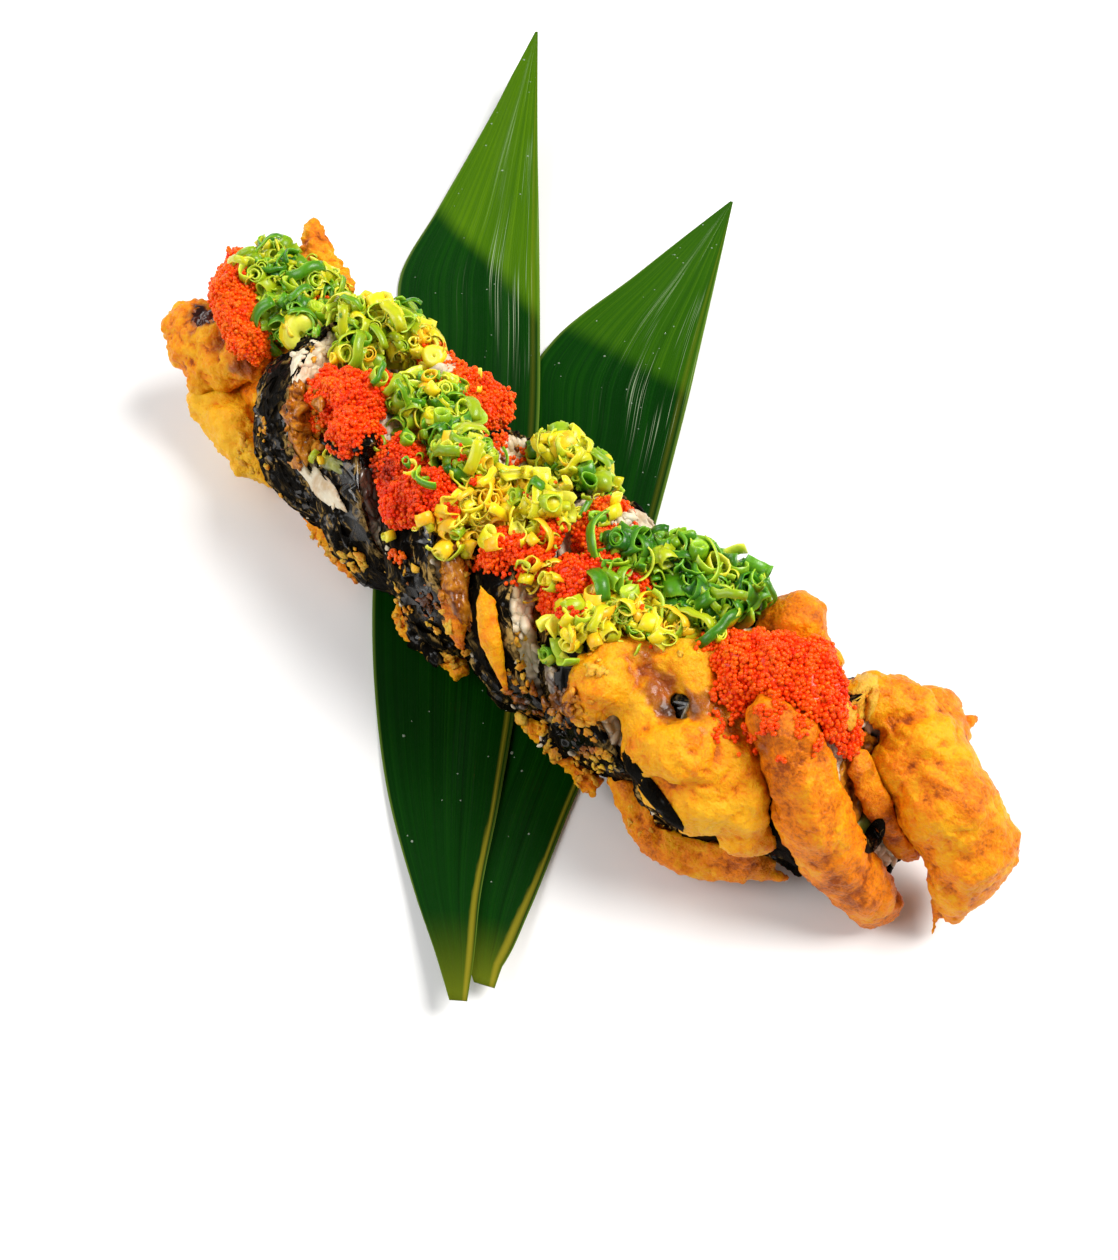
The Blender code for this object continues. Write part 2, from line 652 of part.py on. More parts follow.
def main():
    clear_scene()
    parts = new_collection("crab_futomaki")
    cutters = new_collection("cutters")
    cutters.hide_render = True
    finishes = {name: make_finish(name) for name in FINISHES}
    below = build_slices(parts, cutters, finishes)
    below += build_leaves(parts, cutters, finishes)
    build_crab(parts, cutters, below, finishes)
    build_roe(parts, cutters, below, finishes)
    build_scallion(parts, cutters, below, finishes)
    for cutter in list(cutters.objects):
        bpy.data.objects.remove(cutter, do_unlink=True)
    bpy.data.collections.remove(cutters)
    shift, size = centre_on_floor(parts)
    shade(parts)
    faces = sum(len(obj.data.polygons) for obj in parts.objects)
    print(f"{len(parts.objects)} parts, {faces} faces, size {size}, middle moved by {shift}")
    return shift


SHIFT = main()
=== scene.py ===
"""Crab futomaki: a fanned row of thick roll slices with fried crab, roe, scallion and leaf blades."""
import logging
import math
from dataclasses import dataclass, field
from enum import Enum
from typing import Callable, Iterable, Sequence, Union

import bmesh
import bpy
import numpy as np
from mathutils import Matrix, Vector, noise
from mathutils.bvhtree import BVHTree
from mathutils.kdtree import KDTree


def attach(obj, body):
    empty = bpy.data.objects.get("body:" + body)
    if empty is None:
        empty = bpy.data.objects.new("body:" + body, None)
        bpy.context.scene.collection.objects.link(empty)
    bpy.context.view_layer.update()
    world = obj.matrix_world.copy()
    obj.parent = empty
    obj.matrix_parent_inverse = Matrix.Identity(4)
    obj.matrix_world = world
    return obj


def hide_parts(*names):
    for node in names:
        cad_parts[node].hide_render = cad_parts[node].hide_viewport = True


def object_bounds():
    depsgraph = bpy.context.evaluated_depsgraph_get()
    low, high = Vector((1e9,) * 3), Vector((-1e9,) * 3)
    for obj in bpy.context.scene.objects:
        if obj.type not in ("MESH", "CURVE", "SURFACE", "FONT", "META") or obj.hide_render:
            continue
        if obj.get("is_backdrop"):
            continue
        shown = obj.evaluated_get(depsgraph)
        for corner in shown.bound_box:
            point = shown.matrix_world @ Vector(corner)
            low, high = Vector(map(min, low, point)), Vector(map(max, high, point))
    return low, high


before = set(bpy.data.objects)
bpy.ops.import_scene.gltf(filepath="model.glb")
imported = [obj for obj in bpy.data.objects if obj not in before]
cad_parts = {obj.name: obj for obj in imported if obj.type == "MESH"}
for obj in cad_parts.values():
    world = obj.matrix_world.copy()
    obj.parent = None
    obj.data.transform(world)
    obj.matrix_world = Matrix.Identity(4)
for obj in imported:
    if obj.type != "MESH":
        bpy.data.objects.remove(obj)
CAD_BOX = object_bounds()

MM = 0.001
SEED = 7
LEAF_TOP = 2.5 * MM  # nothing is strewn lower than this, where the leaves and the floor are
ROW_SHIFT = Vector((24.637, -56.303, 0.0)) * MM
ROOT = "root"

log = logging.getLogger("futomaki")


# ---------------------------------------------------------------- shader maths

Number = Union["Value", float]


class Value:
    """A shader socket that can be used in Python arithmetic."""

    def __init__(self, wiring: "Wiring", socket: bpy.types.NodeSocket) -> None:
        """Keep the socket and the wiring that it belongs to."""
        self.wiring = wiring
        self.socket = socket

    def _math(self, operation: str, first: Number, second: Number = 0.0) -> "Value":
        """Add one Math node."""
        return self.wiring.node("ShaderNodeMath", {"operation": operation}, {0: first, 1: second})[0]

    def __add__(self, other: Number) -> "Value":
        """Sum."""
        return self._math("ADD", self, other)

    def __radd__(self, other: Number) -> "Value":
        """Sum with a plain number first."""
        return self._math("ADD", other, self)

    def __sub__(self, other: Number) -> "Value":
        """Difference."""
        return self._math("SUBTRACT", self, other)

    def __rsub__(self, other: Number) -> "Value":
        """Difference with a plain number first."""
        return self._math("SUBTRACT", other, self)

    def __mul__(self, other: Number) -> "Value":
        """Product."""
        return self._math("MULTIPLY", self, other)

    def __rmul__(self, other: Number) -> "Value":
        """Product with a plain number first."""
        return self._math("MULTIPLY", other, self)

    def __truediv__(self, other: Number) -> "Value":
        """Quotient."""
        return self._math("DIVIDE", self, other)

    def __pow__(self, other: Number) -> "Value":
        """Power."""
        return self._math("POWER", self, other)

    def above(self, low: float, high: float) -> "Value":
        """Soft step that runs from 0 at low to 1 at high.

        Args:
            low: Value at which the step starts.
            high: Value at which it is complete.

        Returns:
            The step, clamped to 0 and 1.
        """
        settings = {"interpolation_type": "SMOOTHSTEP", "clamp": True}
        return self.wiring.node("ShaderNodeMapRange", settings,
                                {"Value": self, "From Min": low, "From Max": high})[0]


class Made:
    """A node that was just made; an index or a name gives one of its outputs."""

    def __init__(self, wiring: "Wiring", node: bpy.types.Node) -> None:
        """Keep the node."""
        self.wiring = wiring
        self.made = node

    def __getitem__(self, key: Union[int, str]) -> Value:
        """Return an output as a Value."""
        return Value(self.wiring, self.made.outputs[key])


Colour = tuple[float, float, float]


class Wiring:
    """One material and the nodes in it."""

    def __init__(self, name: str) -> None:
        """Start a material with a Principled shader."""
        self.material = bpy.data.materials.new(name)
        self.material.use_nodes = True
        self.tree = self.material.node_tree
        self.shader = self.tree.nodes["Principled BSDF"]

    def node(self, kind: str, settings: dict | None = None, inputs: dict | None = None) -> Made:
        """Make any node.

        Args:
            kind: Type name of the node.
            settings: Properties that are set first; "stops" fills a colour ramp.
            inputs: Values or links of its sockets, by name or index.

        Returns:
            The node that was made.
        """
        node = self.tree.nodes.new(kind)
        for key, setting in (settings or {}).items():
            if key == "stops":
                ramp = node.color_ramp
                while len(ramp.elements) < len(setting):
                    ramp.elements.new(0.5)
                for element, (position, colour) in zip(ramp.elements, setting):
                    element.position = position
                    element.color = (*colour, 1.0)
            else:
                setattr(node, key, setting)
        for key, value in (inputs or {}).items():
            self.feed(node.inputs[key], value)
        return Made(self, node)

    def feed(self, socket: bpy.types.NodeSocket, value: Union[Number, Colour]) -> None:
        """Set or link one socket.

        Args:
            socket: The input to fill.
            value: A Value to link, or a plain number or colour.
        """
        if isinstance(value, Value):
            self.tree.links.new(value.socket, socket)
        elif socket.type == "RGBA":
            socket.default_value = (*value, 1.0)
        else:
            socket.default_value = value

    def place(self) -> Value:
        """Object coordinates."""
        return self.node("ShaderNodeTexCoord")["Object"]

    def attribute(self, name: str, output: str = "Fac") -> Value:
        """What the mesh carries under this name: a number, or a vector with output Vector."""
        return self.node("ShaderNodeAttribute", {"attribute_name": name})[output]

    def stretched(self, vector: Value, scale: Colour) -> Value:
        """Coordinates scaled by axis."""
        return self.node("ShaderNodeMapping", None, {"Vector": vector, "Scale": scale})[0]

    def grain(self, vector: Value, scale: float, detail: float = 2.0, rough: float = 0.5,
              warp: float = 0.0) -> Value:
        """Noise between 0 and 1.

        Args:
            vector: Coordinates.
            scale: Features per metre (or per unit of the coordinates).
            detail: Octaves.
            rough: Strength of the finer octaves.
            warp: Distortion.

        Returns:
            The noise value.
        """
        inputs = {"Vector": vector, "Scale": scale, "Detail": detail, "Roughness": rough,
                  "Distortion": warp}
        return self.node("ShaderNodeTexNoise", None, inputs)[0]

    def cells(self, vector: Value, scale: float, feature: str = "F1") -> Value:
        """Distance field of scattered cells."""
        return self.node("ShaderNodeTexVoronoi", {"feature": feature},
                         {"Vector": vector, "Scale": scale})["Distance"]

    def ramp(self, factor: Value, stops: Sequence[tuple[float, Colour]]) -> Value:
        """Colour ramp over a factor."""
        return self.node("ShaderNodeValToRGB", {"stops": stops}, {"Fac": factor})[0]

    def mix(self, factor: Number, first: Union[Value, Colour], second: Union[Value, Colour]) -> Value:
        """Blend two colours; factor 1 gives the second."""
        return self.node("ShaderNodeMix", {"data_type": "RGBA"}, {0: factor, 6: first, 7: second})[2]

    def blend(self, factor: Number, first: Number, second: Number) -> Value:
        """Blend two numbers; factor 1 gives the second."""
        return self.node("ShaderNodeMix", {"data_type": "FLOAT"}, {0: factor, 2: first, 3: second})[0]

    def bump(self, height: Value, distance: float, strength: float = 1.0,
             normal: Value | None = None) -> Value:
        """Surface relief from a height.

        Args:
            height: Height between 0 and 1.
            distance: What height 1 stands for, in metres.
            strength: Share of the relief that is applied.
            normal: Normal of a coarser relief under it.

        Returns:
            The bumped normal.
        """
        inputs = {"Height": height, "Distance": distance, "Strength": strength}
        if normal is not None:
            inputs["Normal"] = normal
        return self.node("ShaderNodeBump", None, inputs)[0]

    def glow(self, weight: float, reach: Colour, scale: float) -> None:
        """Let light soak in: how much, how far each colour reaches, and the scale in metres."""
        self.finish(Subsurface_Weight=weight, Subsurface_Radius=reach, Subsurface_Scale=scale)

    def finish(self, **inputs: Union[Number, Colour]) -> bpy.types.Material:
        """Fill the shader; underscores in the names stand for spaces."""
        for name, value in inputs.items():
            self.feed(self.shader.inputs[name.replace("_", " ")], value)
        return self.material


# ---------------------------------------------------------------- finishes

SAUCE_TINT: Colour = (0.030, 0.006, 0.002)


@dataclass(frozen=True)
class BatterFinish:
    """Crisp golden crust with painted shade in its creases, dark where sauce has soaked in."""

    name: str
    yellow: Colour = (0.84, 0.36, 0.003)
    orange: Colour = (0.80, 0.21, 0.002)
    brown: Colour = (0.33, 0.060, 0.001)
    toast: float = 0.5

    def make(self) -> bpy.types.Material:
        """Build the material."""
        w = Wiring(self.name)
        at = w.place()
        patch = w.grain(at, 95.0, 3.0, 0.55, 0.6)
        mottle = w.grain(at, 420.0, 4.0, 0.6)
        fleck = w.cells(at, 520.0)
        crease = w.attribute("crease")
        sauce = w.attribute("sauce")
        speck = w.grain(at, 1500.0, 3.0, 0.6)
        # Subtracting the crease value darkens the creases: painted shade.
        tone = patch * 0.75 + mottle * 0.40 + speck * 0.34 - crease * 0.45 - 0.20
        low = 0.38 + 0.20 * self.toast
        colour = w.ramp(tone, [(low - 0.18, self.brown), (low, self.orange),
                               (low + 0.15, self.yellow), (low + 0.36, (0.90, 0.48, 0.016))])
        colour = w.mix((1.0 - fleck.above(0.05, 0.20)) * 0.25, colour, self.brown)
        # Creases mixed towards brown: painted shade.
        colour = w.mix(crease.above(0.55, 1.0) * 0.75, colour, self.brown)
        colour = w.mix(sauce.above(0.05, 0.45) * 0.8, colour, (0.24, 0.040, 0.003))
        colour = w.mix(sauce.above(0.40, 0.95) * 0.9, colour, SAUCE_TINT)
        rough = w.blend(sauce.above(0.1, 0.5), mottle * 0.30 + 0.26, 0.20)
        fine = w.bump(speck, 0.45 * MM, 0.9)
        coarse = w.bump(w.grain(at, 700.0, 2.0, 0.5, 0.4), 0.45 * MM, 0.8, fine)
        w.glow(0.35, (1.0, 0.40, 0.05), 2.0 * MM)
        return w.finish(Base_Color=colour, Roughness=rough, Normal=coarse, Specular_IOR_Level=0.18,
                        Coat_Weight=sauce.above(0.1, 0.5) * 0.35, Coat_Roughness=0.15)


@dataclass(frozen=True)
class RoeFinish:
    """Wet orange-red beads with a soft inner glow."""

    name: str = "roe"
    deep: Colour = (0.72, 0.020, 0.001)
    red: Colour = (0.98, 0.062, 0.001)
    orange: Colour = (1.0, 0.16, 0.002)

    def make(self) -> bpy.types.Material:
        """Build the material."""
        w = Wiring(self.name)
        tone = w.attribute("tone")
        sauce = w.attribute("sauce")
        speck = w.grain(w.place(), 1600.0, 1.0)
        colour = w.ramp(tone + speck * 0.24 - 0.12,
                        [(0.05, self.deep), (0.45, self.red), (0.95, self.orange)])
        colour = w.mix(sauce.above(0.2, 0.9) * 0.75, colour, (0.16, 0.008, 0.001))
        w.glow(0.35, (1.0, 0.22, 0.05), 0.9 * MM)
        return w.finish(Base_Color=colour, Roughness=speck * 0.2 + 0.20, Specular_IOR_Level=0.20,
                        Coat_Weight=0.06, Coat_Roughness=0.12)


@dataclass(frozen=True)
class ScallionFinish:
    """Wet cut scallion, from dark green leaf to yellow stem, paler on its cut sides."""

    name: str = "scallion"

    def make(self) -> bpy.types.Material:
        """Build the material."""
        w = Wiring(self.name)
        at = w.place()
        tone = w.attribute("tone")
        skin = w.attribute("skin")
        streak = w.grain(at, 1300.0, 2.0)
        broad = w.grain(at, 260.0, 2.0)
        mixed = tone + broad * 0.18 - 0.09
        outer = w.ramp(mixed, [(0.0, (0.012, 0.11, 0.003)), (0.28, (0.085, 0.29, 0.004)),
                               (0.56, (0.42, 0.50, 0.006)), (0.84, (0.98, 0.76, 0.012)),
                               (1.0, (1.0, 0.50, 0.012))])
        inner = w.ramp(mixed, [(0.0, (0.10, 0.34, 0.010)), (0.33, (0.36, 0.60, 0.03)),
                               (0.62, (0.70, 0.75, 0.06)), (0.86, (0.97, 0.88, 0.10)),
                               (1.0, (0.98, 0.62, 0.03))])
        colour = w.mix(skin.above(0.35, 0.75), inner, outer)
        colour = w.mix(streak.above(0.45, 0.8) * 0.35, colour, outer)
        normal = w.bump(streak, 0.10 * MM, 0.6)
        w.glow(0.45, (0.8, 1.0, 0.10), 1.2 * MM)
        return w.finish(Base_Color=colour, Roughness=streak * 0.2 + 0.24, Normal=normal,
                        Specular_IOR_Level=0.40, Coat_Weight=0.08, Coat_Roughness=0.12)


@dataclass(frozen=True)
class RiceFinish:
    """Sticky short grains, stained where filling and sauce touch them."""

    name: str = "rice"
    white: Colour = (0.72, 0.62, 0.44)
    stain: Colour = (0.42, 0.22, 0.055)

    def make(self) -> bpy.types.Material:
        """Build the material."""
        w = Wiring(self.name)
        at = w.place()
        cloud = w.grain(at, 130.0, 3.0)
        fine = w.grain(at, 900.0, 2.0)
        sauce = w.attribute("sauce")
        colour = w.mix(cloud.above(0.42, 0.66) * 0.6, self.white, self.stain)
        colour = w.mix(fine.above(0.4, 0.8) * 0.25, colour, (0.88, 0.84, 0.74))
        colour = w.mix(sauce.above(0.1, 0.6) * 0.92, colour, (0.045, 0.012, 0.002))
        w.glow(0.2, (1.0, 0.8, 0.5), 1.2 * MM)
        return w.finish(Base_Color=colour, Roughness=fine * 0.25 + 0.28,
                        Normal=w.bump(fine, 0.12 * MM, 0.6),
                        Coat_Weight=sauce.above(0.2, 0.7) * 0.8, Coat_Roughness=0.08)


@dataclass(frozen=True)
class NoriFinish:
    """Moist seaweed sheet: near black, wrinkled, with pale gold along its pleats and rims that is partly
    starch smear and partly painted sheen.
    """

    name: str = "nori"

    def make(self) -> bpy.types.Material:
        """Build the material."""
        w = Wiring(self.name)
        at = w.place()
        band = w.attribute("band", "Vector")
        pleat = w.grain(w.stretched(band, (380.0, 150.0, 0.0)), 1.0, 4.0, 0.6, 0.6)
        smear_and_sheen = w.grain(w.stretched(band, (420.0, 210.0, 0.0)), 1.0, 4.0, 0.65, 0.8)
        cloud = w.grain(at, 60.0, 2.0)
        fibre = w.grain(at, 1400.0, 4.0, 0.65)
        edge = w.attribute("edge")
        sauce = w.attribute("sauce")
        colour = w.ramp(fibre, [(0.30, (0.001, 0.001, 0.0005)), (0.55, (0.003, 0.002, 0.001)),
                                (0.80, (0.014, 0.010, 0.003))])
        # Pale gold along the pleats and near the rims: partly starch smear, partly painted sheen of the wet
        # sheet.
        pale_smear_and_sheen = smear_and_sheen.above(0.56, 0.64) * cloud.above(0.46, 0.56) * (1.0 - sauce.above(0.1, 0.5))
        colour = w.mix(pale_smear_and_sheen * 0.8, colour, (0.42, 0.25, 0.065))
        colour = w.mix(edge * smear_and_sheen.above(0.50, 0.66) * 0.7, colour, (0.50, 0.31, 0.09))
        dots = w.grain(at, 480.0, 2.0).above(0.52, 0.62) * cloud.above(0.44, 0.54)
        rough = w.blend(sauce.above(0.05, 0.4), fibre * 0.30 + 0.45, 0.12)
        fine = w.bump(fibre, 0.22 * MM, 0.8)
        normal = w.bump(pleat, 1.6 * MM, 0.9, fine)
        return w.finish(Base_Color=colour, Roughness=rough, Normal=normal, Specular_IOR_Level=0.03,
                        Coat_Weight=sauce.above(0.05, 0.5) * 0.6 + dots * 0.7, Coat_Roughness=0.09)


@dataclass(frozen=True)
class FillingFinish:
    """Moist fried crab meat in batter, cut across: brown, golden and creamy patches, with painted shade in
    its creases.
    """

    name: str = "filling"

    def make(self) -> bpy.types.Material:
        """Build the material."""
        w = Wiring(self.name)
        at = w.place()
        patch = w.grain(at, 240.0, 4.0, 0.6, 0.8)
        fine = w.grain(at, 1100.0, 3.0, 0.6)
        pit = w.cells(at, 300.0)
        crease = w.attribute("crease")
        sauce = w.attribute("sauce")
        colour = w.ramp(patch + fine * 0.2 - 0.1,
                        [(0.30, (0.045, 0.010, 0.001)), (0.44, (0.25, 0.062, 0.002)),
                         (0.58, (0.56, 0.20, 0.008)), (0.78, (0.74, 0.38, 0.05))])
        # Deep creases mixed towards near black: painted shade.
        colour = w.mix(crease.above(0.4, 0.9) * 0.8, colour, (0.035, 0.010, 0.002))
        colour = w.mix(sauce.above(0.2, 0.9) * 0.7, colour, SAUCE_TINT)
        normal = w.bump(patch, 1.0 * MM, 0.7, w.bump(fine, 0.25 * MM, 0.7))
        coat = pit.above(0.1, 0.6) * 0.35 + sauce.above(0.2, 0.7) * 0.5 + 0.1
        w.glow(0.15, (1.0, 0.5, 0.2), 1.2 * MM)
        return w.finish(Base_Color=colour, Roughness=fine * 0.3 + 0.22, Normal=normal,
                        Specular_IOR_Level=0.12, Coat_Weight=coat, Coat_Roughness=0.12)


@dataclass(frozen=True)
class AvocadoFinish:
    """Soft green flesh with darker and lighter olive patches."""

    name: str = "avocado"

    def make(self) -> bpy.types.Material:
        """Build the material."""
        w = Wiring(self.name)
        at = w.place()
        patch = w.grain(at, 170.0, 3.0, 0.5)
        fine = w.grain(at, 900.0, 3.0, 0.6)
        crease = w.attribute("crease")
        colour = w.ramp(patch, [(0.3, (0.055, 0.060, 0.006)), (0.5, (0.20, 0.21, 0.018)),
                                (0.7, (0.42, 0.42, 0.06))])
        # Creases mixed towards dark olive: painted shade.
        colour = w.mix(crease.above(0.4, 0.9) * 0.7, colour, (0.03, 0.028, 0.004))
        return w.finish(Base_Color=colour, Roughness=fine * 0.2 + 0.28,
                        Normal=w.bump(fine, 0.2 * MM, 0.6), Coat_Weight=0.3, Coat_Roughness=0.15)


@dataclass(frozen=True)
class LeafFinish:
    """Waxy blade with fine veins along it and a light rib, painted shade near and in front of the row,
    painted light towards the tips and painted glint streaks.
    """

    name: str = "leaf"
    # The three lit colours are the blade's green painted in light, beyond the row.
    lit_dark: Colour = (0.020, 0.080, 0.0005)
    lit_mid: Colour = (0.046, 0.128, 0.001)
    lit_pale: Colour = (0.100, 0.215, 0.002)

    def make(self) -> bpy.types.Material:
        """Build the material."""
        w = Wiring(self.name)
        uv = w.node("ShaderNodeUVMap", {"uv_map": "blade"})[0]
        at = w.place()
        veins = w.grain(w.stretched(uv, (95.0, 1.6, 0.0)), 1.0, 4.0, 0.75)
        bands = w.grain(w.stretched(uv, (16.0, 1.1, 0.0)), 1.0, 3.0, 0.6)
        cloud = w.grain(at, 14.0, 2.0)
        rib = w.attribute("rib")
        rim = w.attribute("rim")
        stalk = w.attribute("stalk")
        streaks = bands * 0.5 + veins * 0.55 + cloud * 0.25 - 0.15
        # The first ramp is the green painted in shade, near and in front of the row; the second is the
        # green painted in light.
        deep = w.ramp(streaks, [(0.30, (0.0005, 0.015, 0.0003)), (0.50, (0.001, 0.030, 0.0005)),
                                (0.75, (0.007, 0.065, 0.001))])
        lit_green = w.ramp(streaks, [(0.30, self.lit_dark), (0.50, self.lit_mid),
                                 (0.75, self.lit_pale)])
        # Past a line behind the row, tilted on the upper blade, painted shade gives way to painted light,
        # partly also the paler green of the tips.
        far = w.attribute("far") + cloud * 10.0
        colour = w.mix(far.above(43.0, 51.0), deep, lit_green)
        gloss_and_glint = (w.grain(w.stretched(uv, (140.0, 4.0, 0.0)), 1.0, 1.0).above(0.58, 0.66)
                 * w.grain(w.stretched(uv, (7.0, 4.0, 0.0)), 1.0, 2.0).above(0.46, 0.58))
        gloss_and_glint = gloss_and_glint * w.attribute("side").above(0.30, 0.70)
        # Pale streaks mixed into the colour are a painted glint; the same mask also sets the coat.
        colour = w.mix(gloss_and_glint * far.above(10.0, 40.0) * 0.65, colour, (0.45, 0.56, 0.34))
        colour = w.mix(rim * 0.7, colour, (0.16, 0.26, 0.03))
        colour = w.mix(stalk * (veins * 1.2 + 0.05), colour, (0.15, 0.18, 0.006))
        colour = w.mix(rib * (veins * 0.6 + 0.5), colour, (0.25, 0.21, 0.012))
        ridge = w.bump(veins, 0.35 * MM, 0.55, w.bump(w.grain(at, 700.0, 3.0), 0.1 * MM, 0.4))
        return w.finish(Base_Color=colour, Roughness=veins * 0.25 + 0.30, Normal=ridge,
                        Specular_IOR_Level=0.04, Coat_Weight=gloss_and_glint * 0.5, Coat_Roughness=0.15)


@dataclass(frozen=True)
class SauceFinish:
    """Thick sweet soy glaze."""

    name: str = "sauce"

    def make(self) -> bpy.types.Material:
        """Build the material."""
        w = Wiring(self.name)
        cloud = w.grain(w.place(), 300.0, 2.0)
        colour = w.ramp(cloud, [(0.3, (0.012, 0.002, 0.001)), (0.7, (0.075, 0.012, 0.003))])
        return w.finish(Base_Color=colour, Roughness=cloud * 0.1 + 0.08,
                        Normal=w.bump(cloud, 1.4 * MM, 1.0))


@dataclass(frozen=True)
class WaterFinish:
    """Small clear drops."""

    name: str = "water"

    def make(self) -> bpy.types.Material:
        """Build the material."""
        w = Wiring(self.name)
        rough = w.grain(w.place(), 400.0) * 0.04 + 0.04
        return w.finish(Base_Color=(0.62, 0.74, 0.58), Roughness=rough, Alpha=0.35)


@dataclass(frozen=True)
class FloorFinish:
    """Plain pale surface."""

    name: str = "floor"

    def make(self) -> bpy.types.Material:
        """Build the material."""
        w = Wiring(self.name)
        cloud = w.grain(w.place(), 3.0, 2.0)
        colour = w.ramp(cloud, [(0.3, (0.90, 0.90, 0.90)), (0.7, (0.92, 0.92, 0.92))])
        return w.finish(Base_Color=colour, Roughness=0.7)


# ---------------------------------------------------------------- mesh helpers


def at(x: float, y: float, z: float) -> Vector:
    """Point of the row, given in millimetres from the row's own middle."""
    return Vector((x, y, z)) * MM + ROW_SHIFT


def merged(*names: str) -> bmesh.types.BMesh:
    """Copy CAD nodes into one bmesh with their loose triangles joined.

    Args:
        names: Names of the nodes.

    Returns:
        A new bmesh.
    """
    bm = bmesh.new()
    for name in names:
        bm.from_mesh(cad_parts[name].data)
    bmesh.ops.remove_doubles(bm, verts=bm.verts[:], dist=1e-6)
    return bm


def link(name: str, data: bpy.types.ID, place: Matrix = Matrix()) -> bpy.types.Object:
    """Put a mesh, a light or a camera into the scene.

    Args:
        name: Name of the object.
        data: What it shows.
        place: Where it stands; the origin unless this is given.

    Returns:
        The object.
    """
    obj = bpy.data.objects.new(name, data)
    obj.matrix_world = place
    bpy.context.scene.collection.objects.link(obj)
    return obj


def as_object(name: str, bm: bmesh.types.BMesh) -> bpy.types.Object:
    """Put a bmesh into the scene as one object at the origin, and free it."""
    mesh = bpy.data.meshes.new(name)
    bm.to_mesh(mesh)
    bm.free()
    return link(name, mesh)


def bake_modifiers(obj: bpy.types.Object) -> None:
    """Swap the object's mesh for the one that its modifiers give."""
    bpy.context.view_layer.update()
    graph = bpy.context.evaluated_depsgraph_get()
    done = bpy.data.meshes.new_from_object(obj.evaluated_get(graph))
    obj.modifiers.clear()
    obj.data = done


def remesh(obj: bpy.types.Object, voxel: float, rounds: int) -> None:
    """Rebuild the object's skin from small even quads and soften it.

    Args:
        obj: The object.
        voxel: Size of the quads in metres.
        rounds: Smoothing rounds.
    """
    step = obj.modifiers.new("Remesh", "REMESH")
    step.mode = "VOXEL"
    step.voxel_size = voxel
    soft = obj.modifiers.new("Soften", "SMOOTH")
    soft.iterations = rounds
    bake_modifiers(obj)


def soften(bm: bmesh.types.BMesh, rounds: int = 1) -> None:
    """Draw every vertex towards its neighbours."""
    for _ in range(rounds):
        bmesh.ops.smooth_vert(bm, verts=bm.verts[:], factor=0.5, use_axis_x=True, use_axis_y=True,
                              use_axis_z=True)


def thicken(obj: bpy.types.Object, thickness: float, offset: float) -> None:
    """Give a sheet a thickness in metres; offset 1 grows it outwards and -1 inwards."""
    wall = obj.modifiers.new("Wall", "SOLIDIFY")
    wall.thickness = thickness
    wall.offset = offset
    bake_modifiers(obj)


def vertex_data(mesh: bpy.types.Mesh) -> tuple[np.ndarray, np.ndarray]:
    """Vertex places and normals as two arrays."""
    count = len(mesh.vertices)
    places = np.empty(count * 3, np.float32)
    normals = np.empty(count * 3, np.float32)
    mesh.vertices.foreach_get("co", places)
    mesh.vertex_normals.foreach_get("vector", normals)
    return places.reshape(-1, 3), normals.reshape(-1, 3)


def set_places(mesh: bpy.types.Mesh, places: np.ndarray) -> None:
    """Write vertex places back."""
    mesh.vertices.foreach_set("co", places.astype(np.float32).ravel())
    mesh.update()


def set_number(mesh: bpy.types.Mesh, name: str, values: np.ndarray) -> None:
    """Store one number a vertex under a name."""
    layer = mesh.attributes.new(name, "FLOAT", "POINT")
    layer.data.foreach_set("value", values.astype(np.float32))


def set_vectors(mesh: bpy.types.Mesh, name: str, vectors: np.ndarray) -> None:
    """Store one vector a vertex under a name."""
    layer = mesh.attributes.new(name, "FLOAT_VECTOR", "POINT")
    layer.data.foreach_set("vector", vectors.astype(np.float32).ravel())


def relief(mesh: bpy.types.Mesh, height: Callable[[Vector], float]) -> None:
    """Move every vertex along its normal by height(place)."""
    places, normals = vertex_data(mesh)
    moves = np.array([height(Vector(place)) for place in places.tolist()], np.float32)
    set_places(mesh, places + normals * moves[:, None])


def crease_of(mesh: bpy.types.Mesh, reach: float, rounds: int = 14) -> np.ndarray:
    """How deep each vertex lies below its smoothed surroundings.

    Args:
        mesh: The mesh.
        reach: Depth that counts as a full crease, in metres.
        rounds: Smoothing rounds, which set how wide a crease may be.

    Returns:
        Numbers from 0 on open skin to 1 in a deep crease.
    """
    places, normals = vertex_data(mesh)
    edges = np.empty(len(mesh.edges) * 2, np.int32)
    mesh.edges.foreach_get("vertices", edges)
    first, second = edges.reshape(-1, 2).T
    count = len(places)
    degree = np.maximum(np.bincount(first, minlength=count) + np.bincount(second, minlength=count), 1)
    soft = places.astype(np.float64)
    for _ in range(rounds):
        total = np.empty_like(soft)
        for axis in range(3):
            column = soft[:, axis]
            total[:, axis] = (np.bincount(first, column[second], count)
                              + np.bincount(second, column[first], count))
        soft = total / degree[:, None]
    depth = ((soft - places) * normals).sum(1) / reach
    return np.clip(depth, 0.0, 1.0)


def set_smooth(mesh: bpy.types.Mesh) -> None:
    """Shade the whole mesh smooth."""
    mesh.polygons.foreach_set("use_smooth", np.ones(len(mesh.polygons), bool))
    mesh.update()


def dress(obj: bpy.types.Object, finish: bpy.types.Material, slot: str,
          replaces: Iterable[str] = ()) -> bpy.types.Object:
    """Give a finished piece its material and its place in the object.

    Args:
        obj: The piece.
        finish: Its material.
        slot: Not used.
        replaces: CAD nodes that it stands for.

    Returns:
        The piece.
    """
    places = vertex_data(obj.data)[0]
    places[:, 2] = np.maximum(places[:, 2], 0.0)
    set_places(obj.data, places)
    obj.data.materials.clear()
    obj.data.materials.append(finish)
    set_smooth(obj.data)
    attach(obj, ROOT)
    names = list(replaces)
    if names:
        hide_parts(*names)
    log.info("%s: %d faces", obj.name, len(obj.data.polygons))
    return obj


TRIES = 7  # random points for each one that even_points may keep


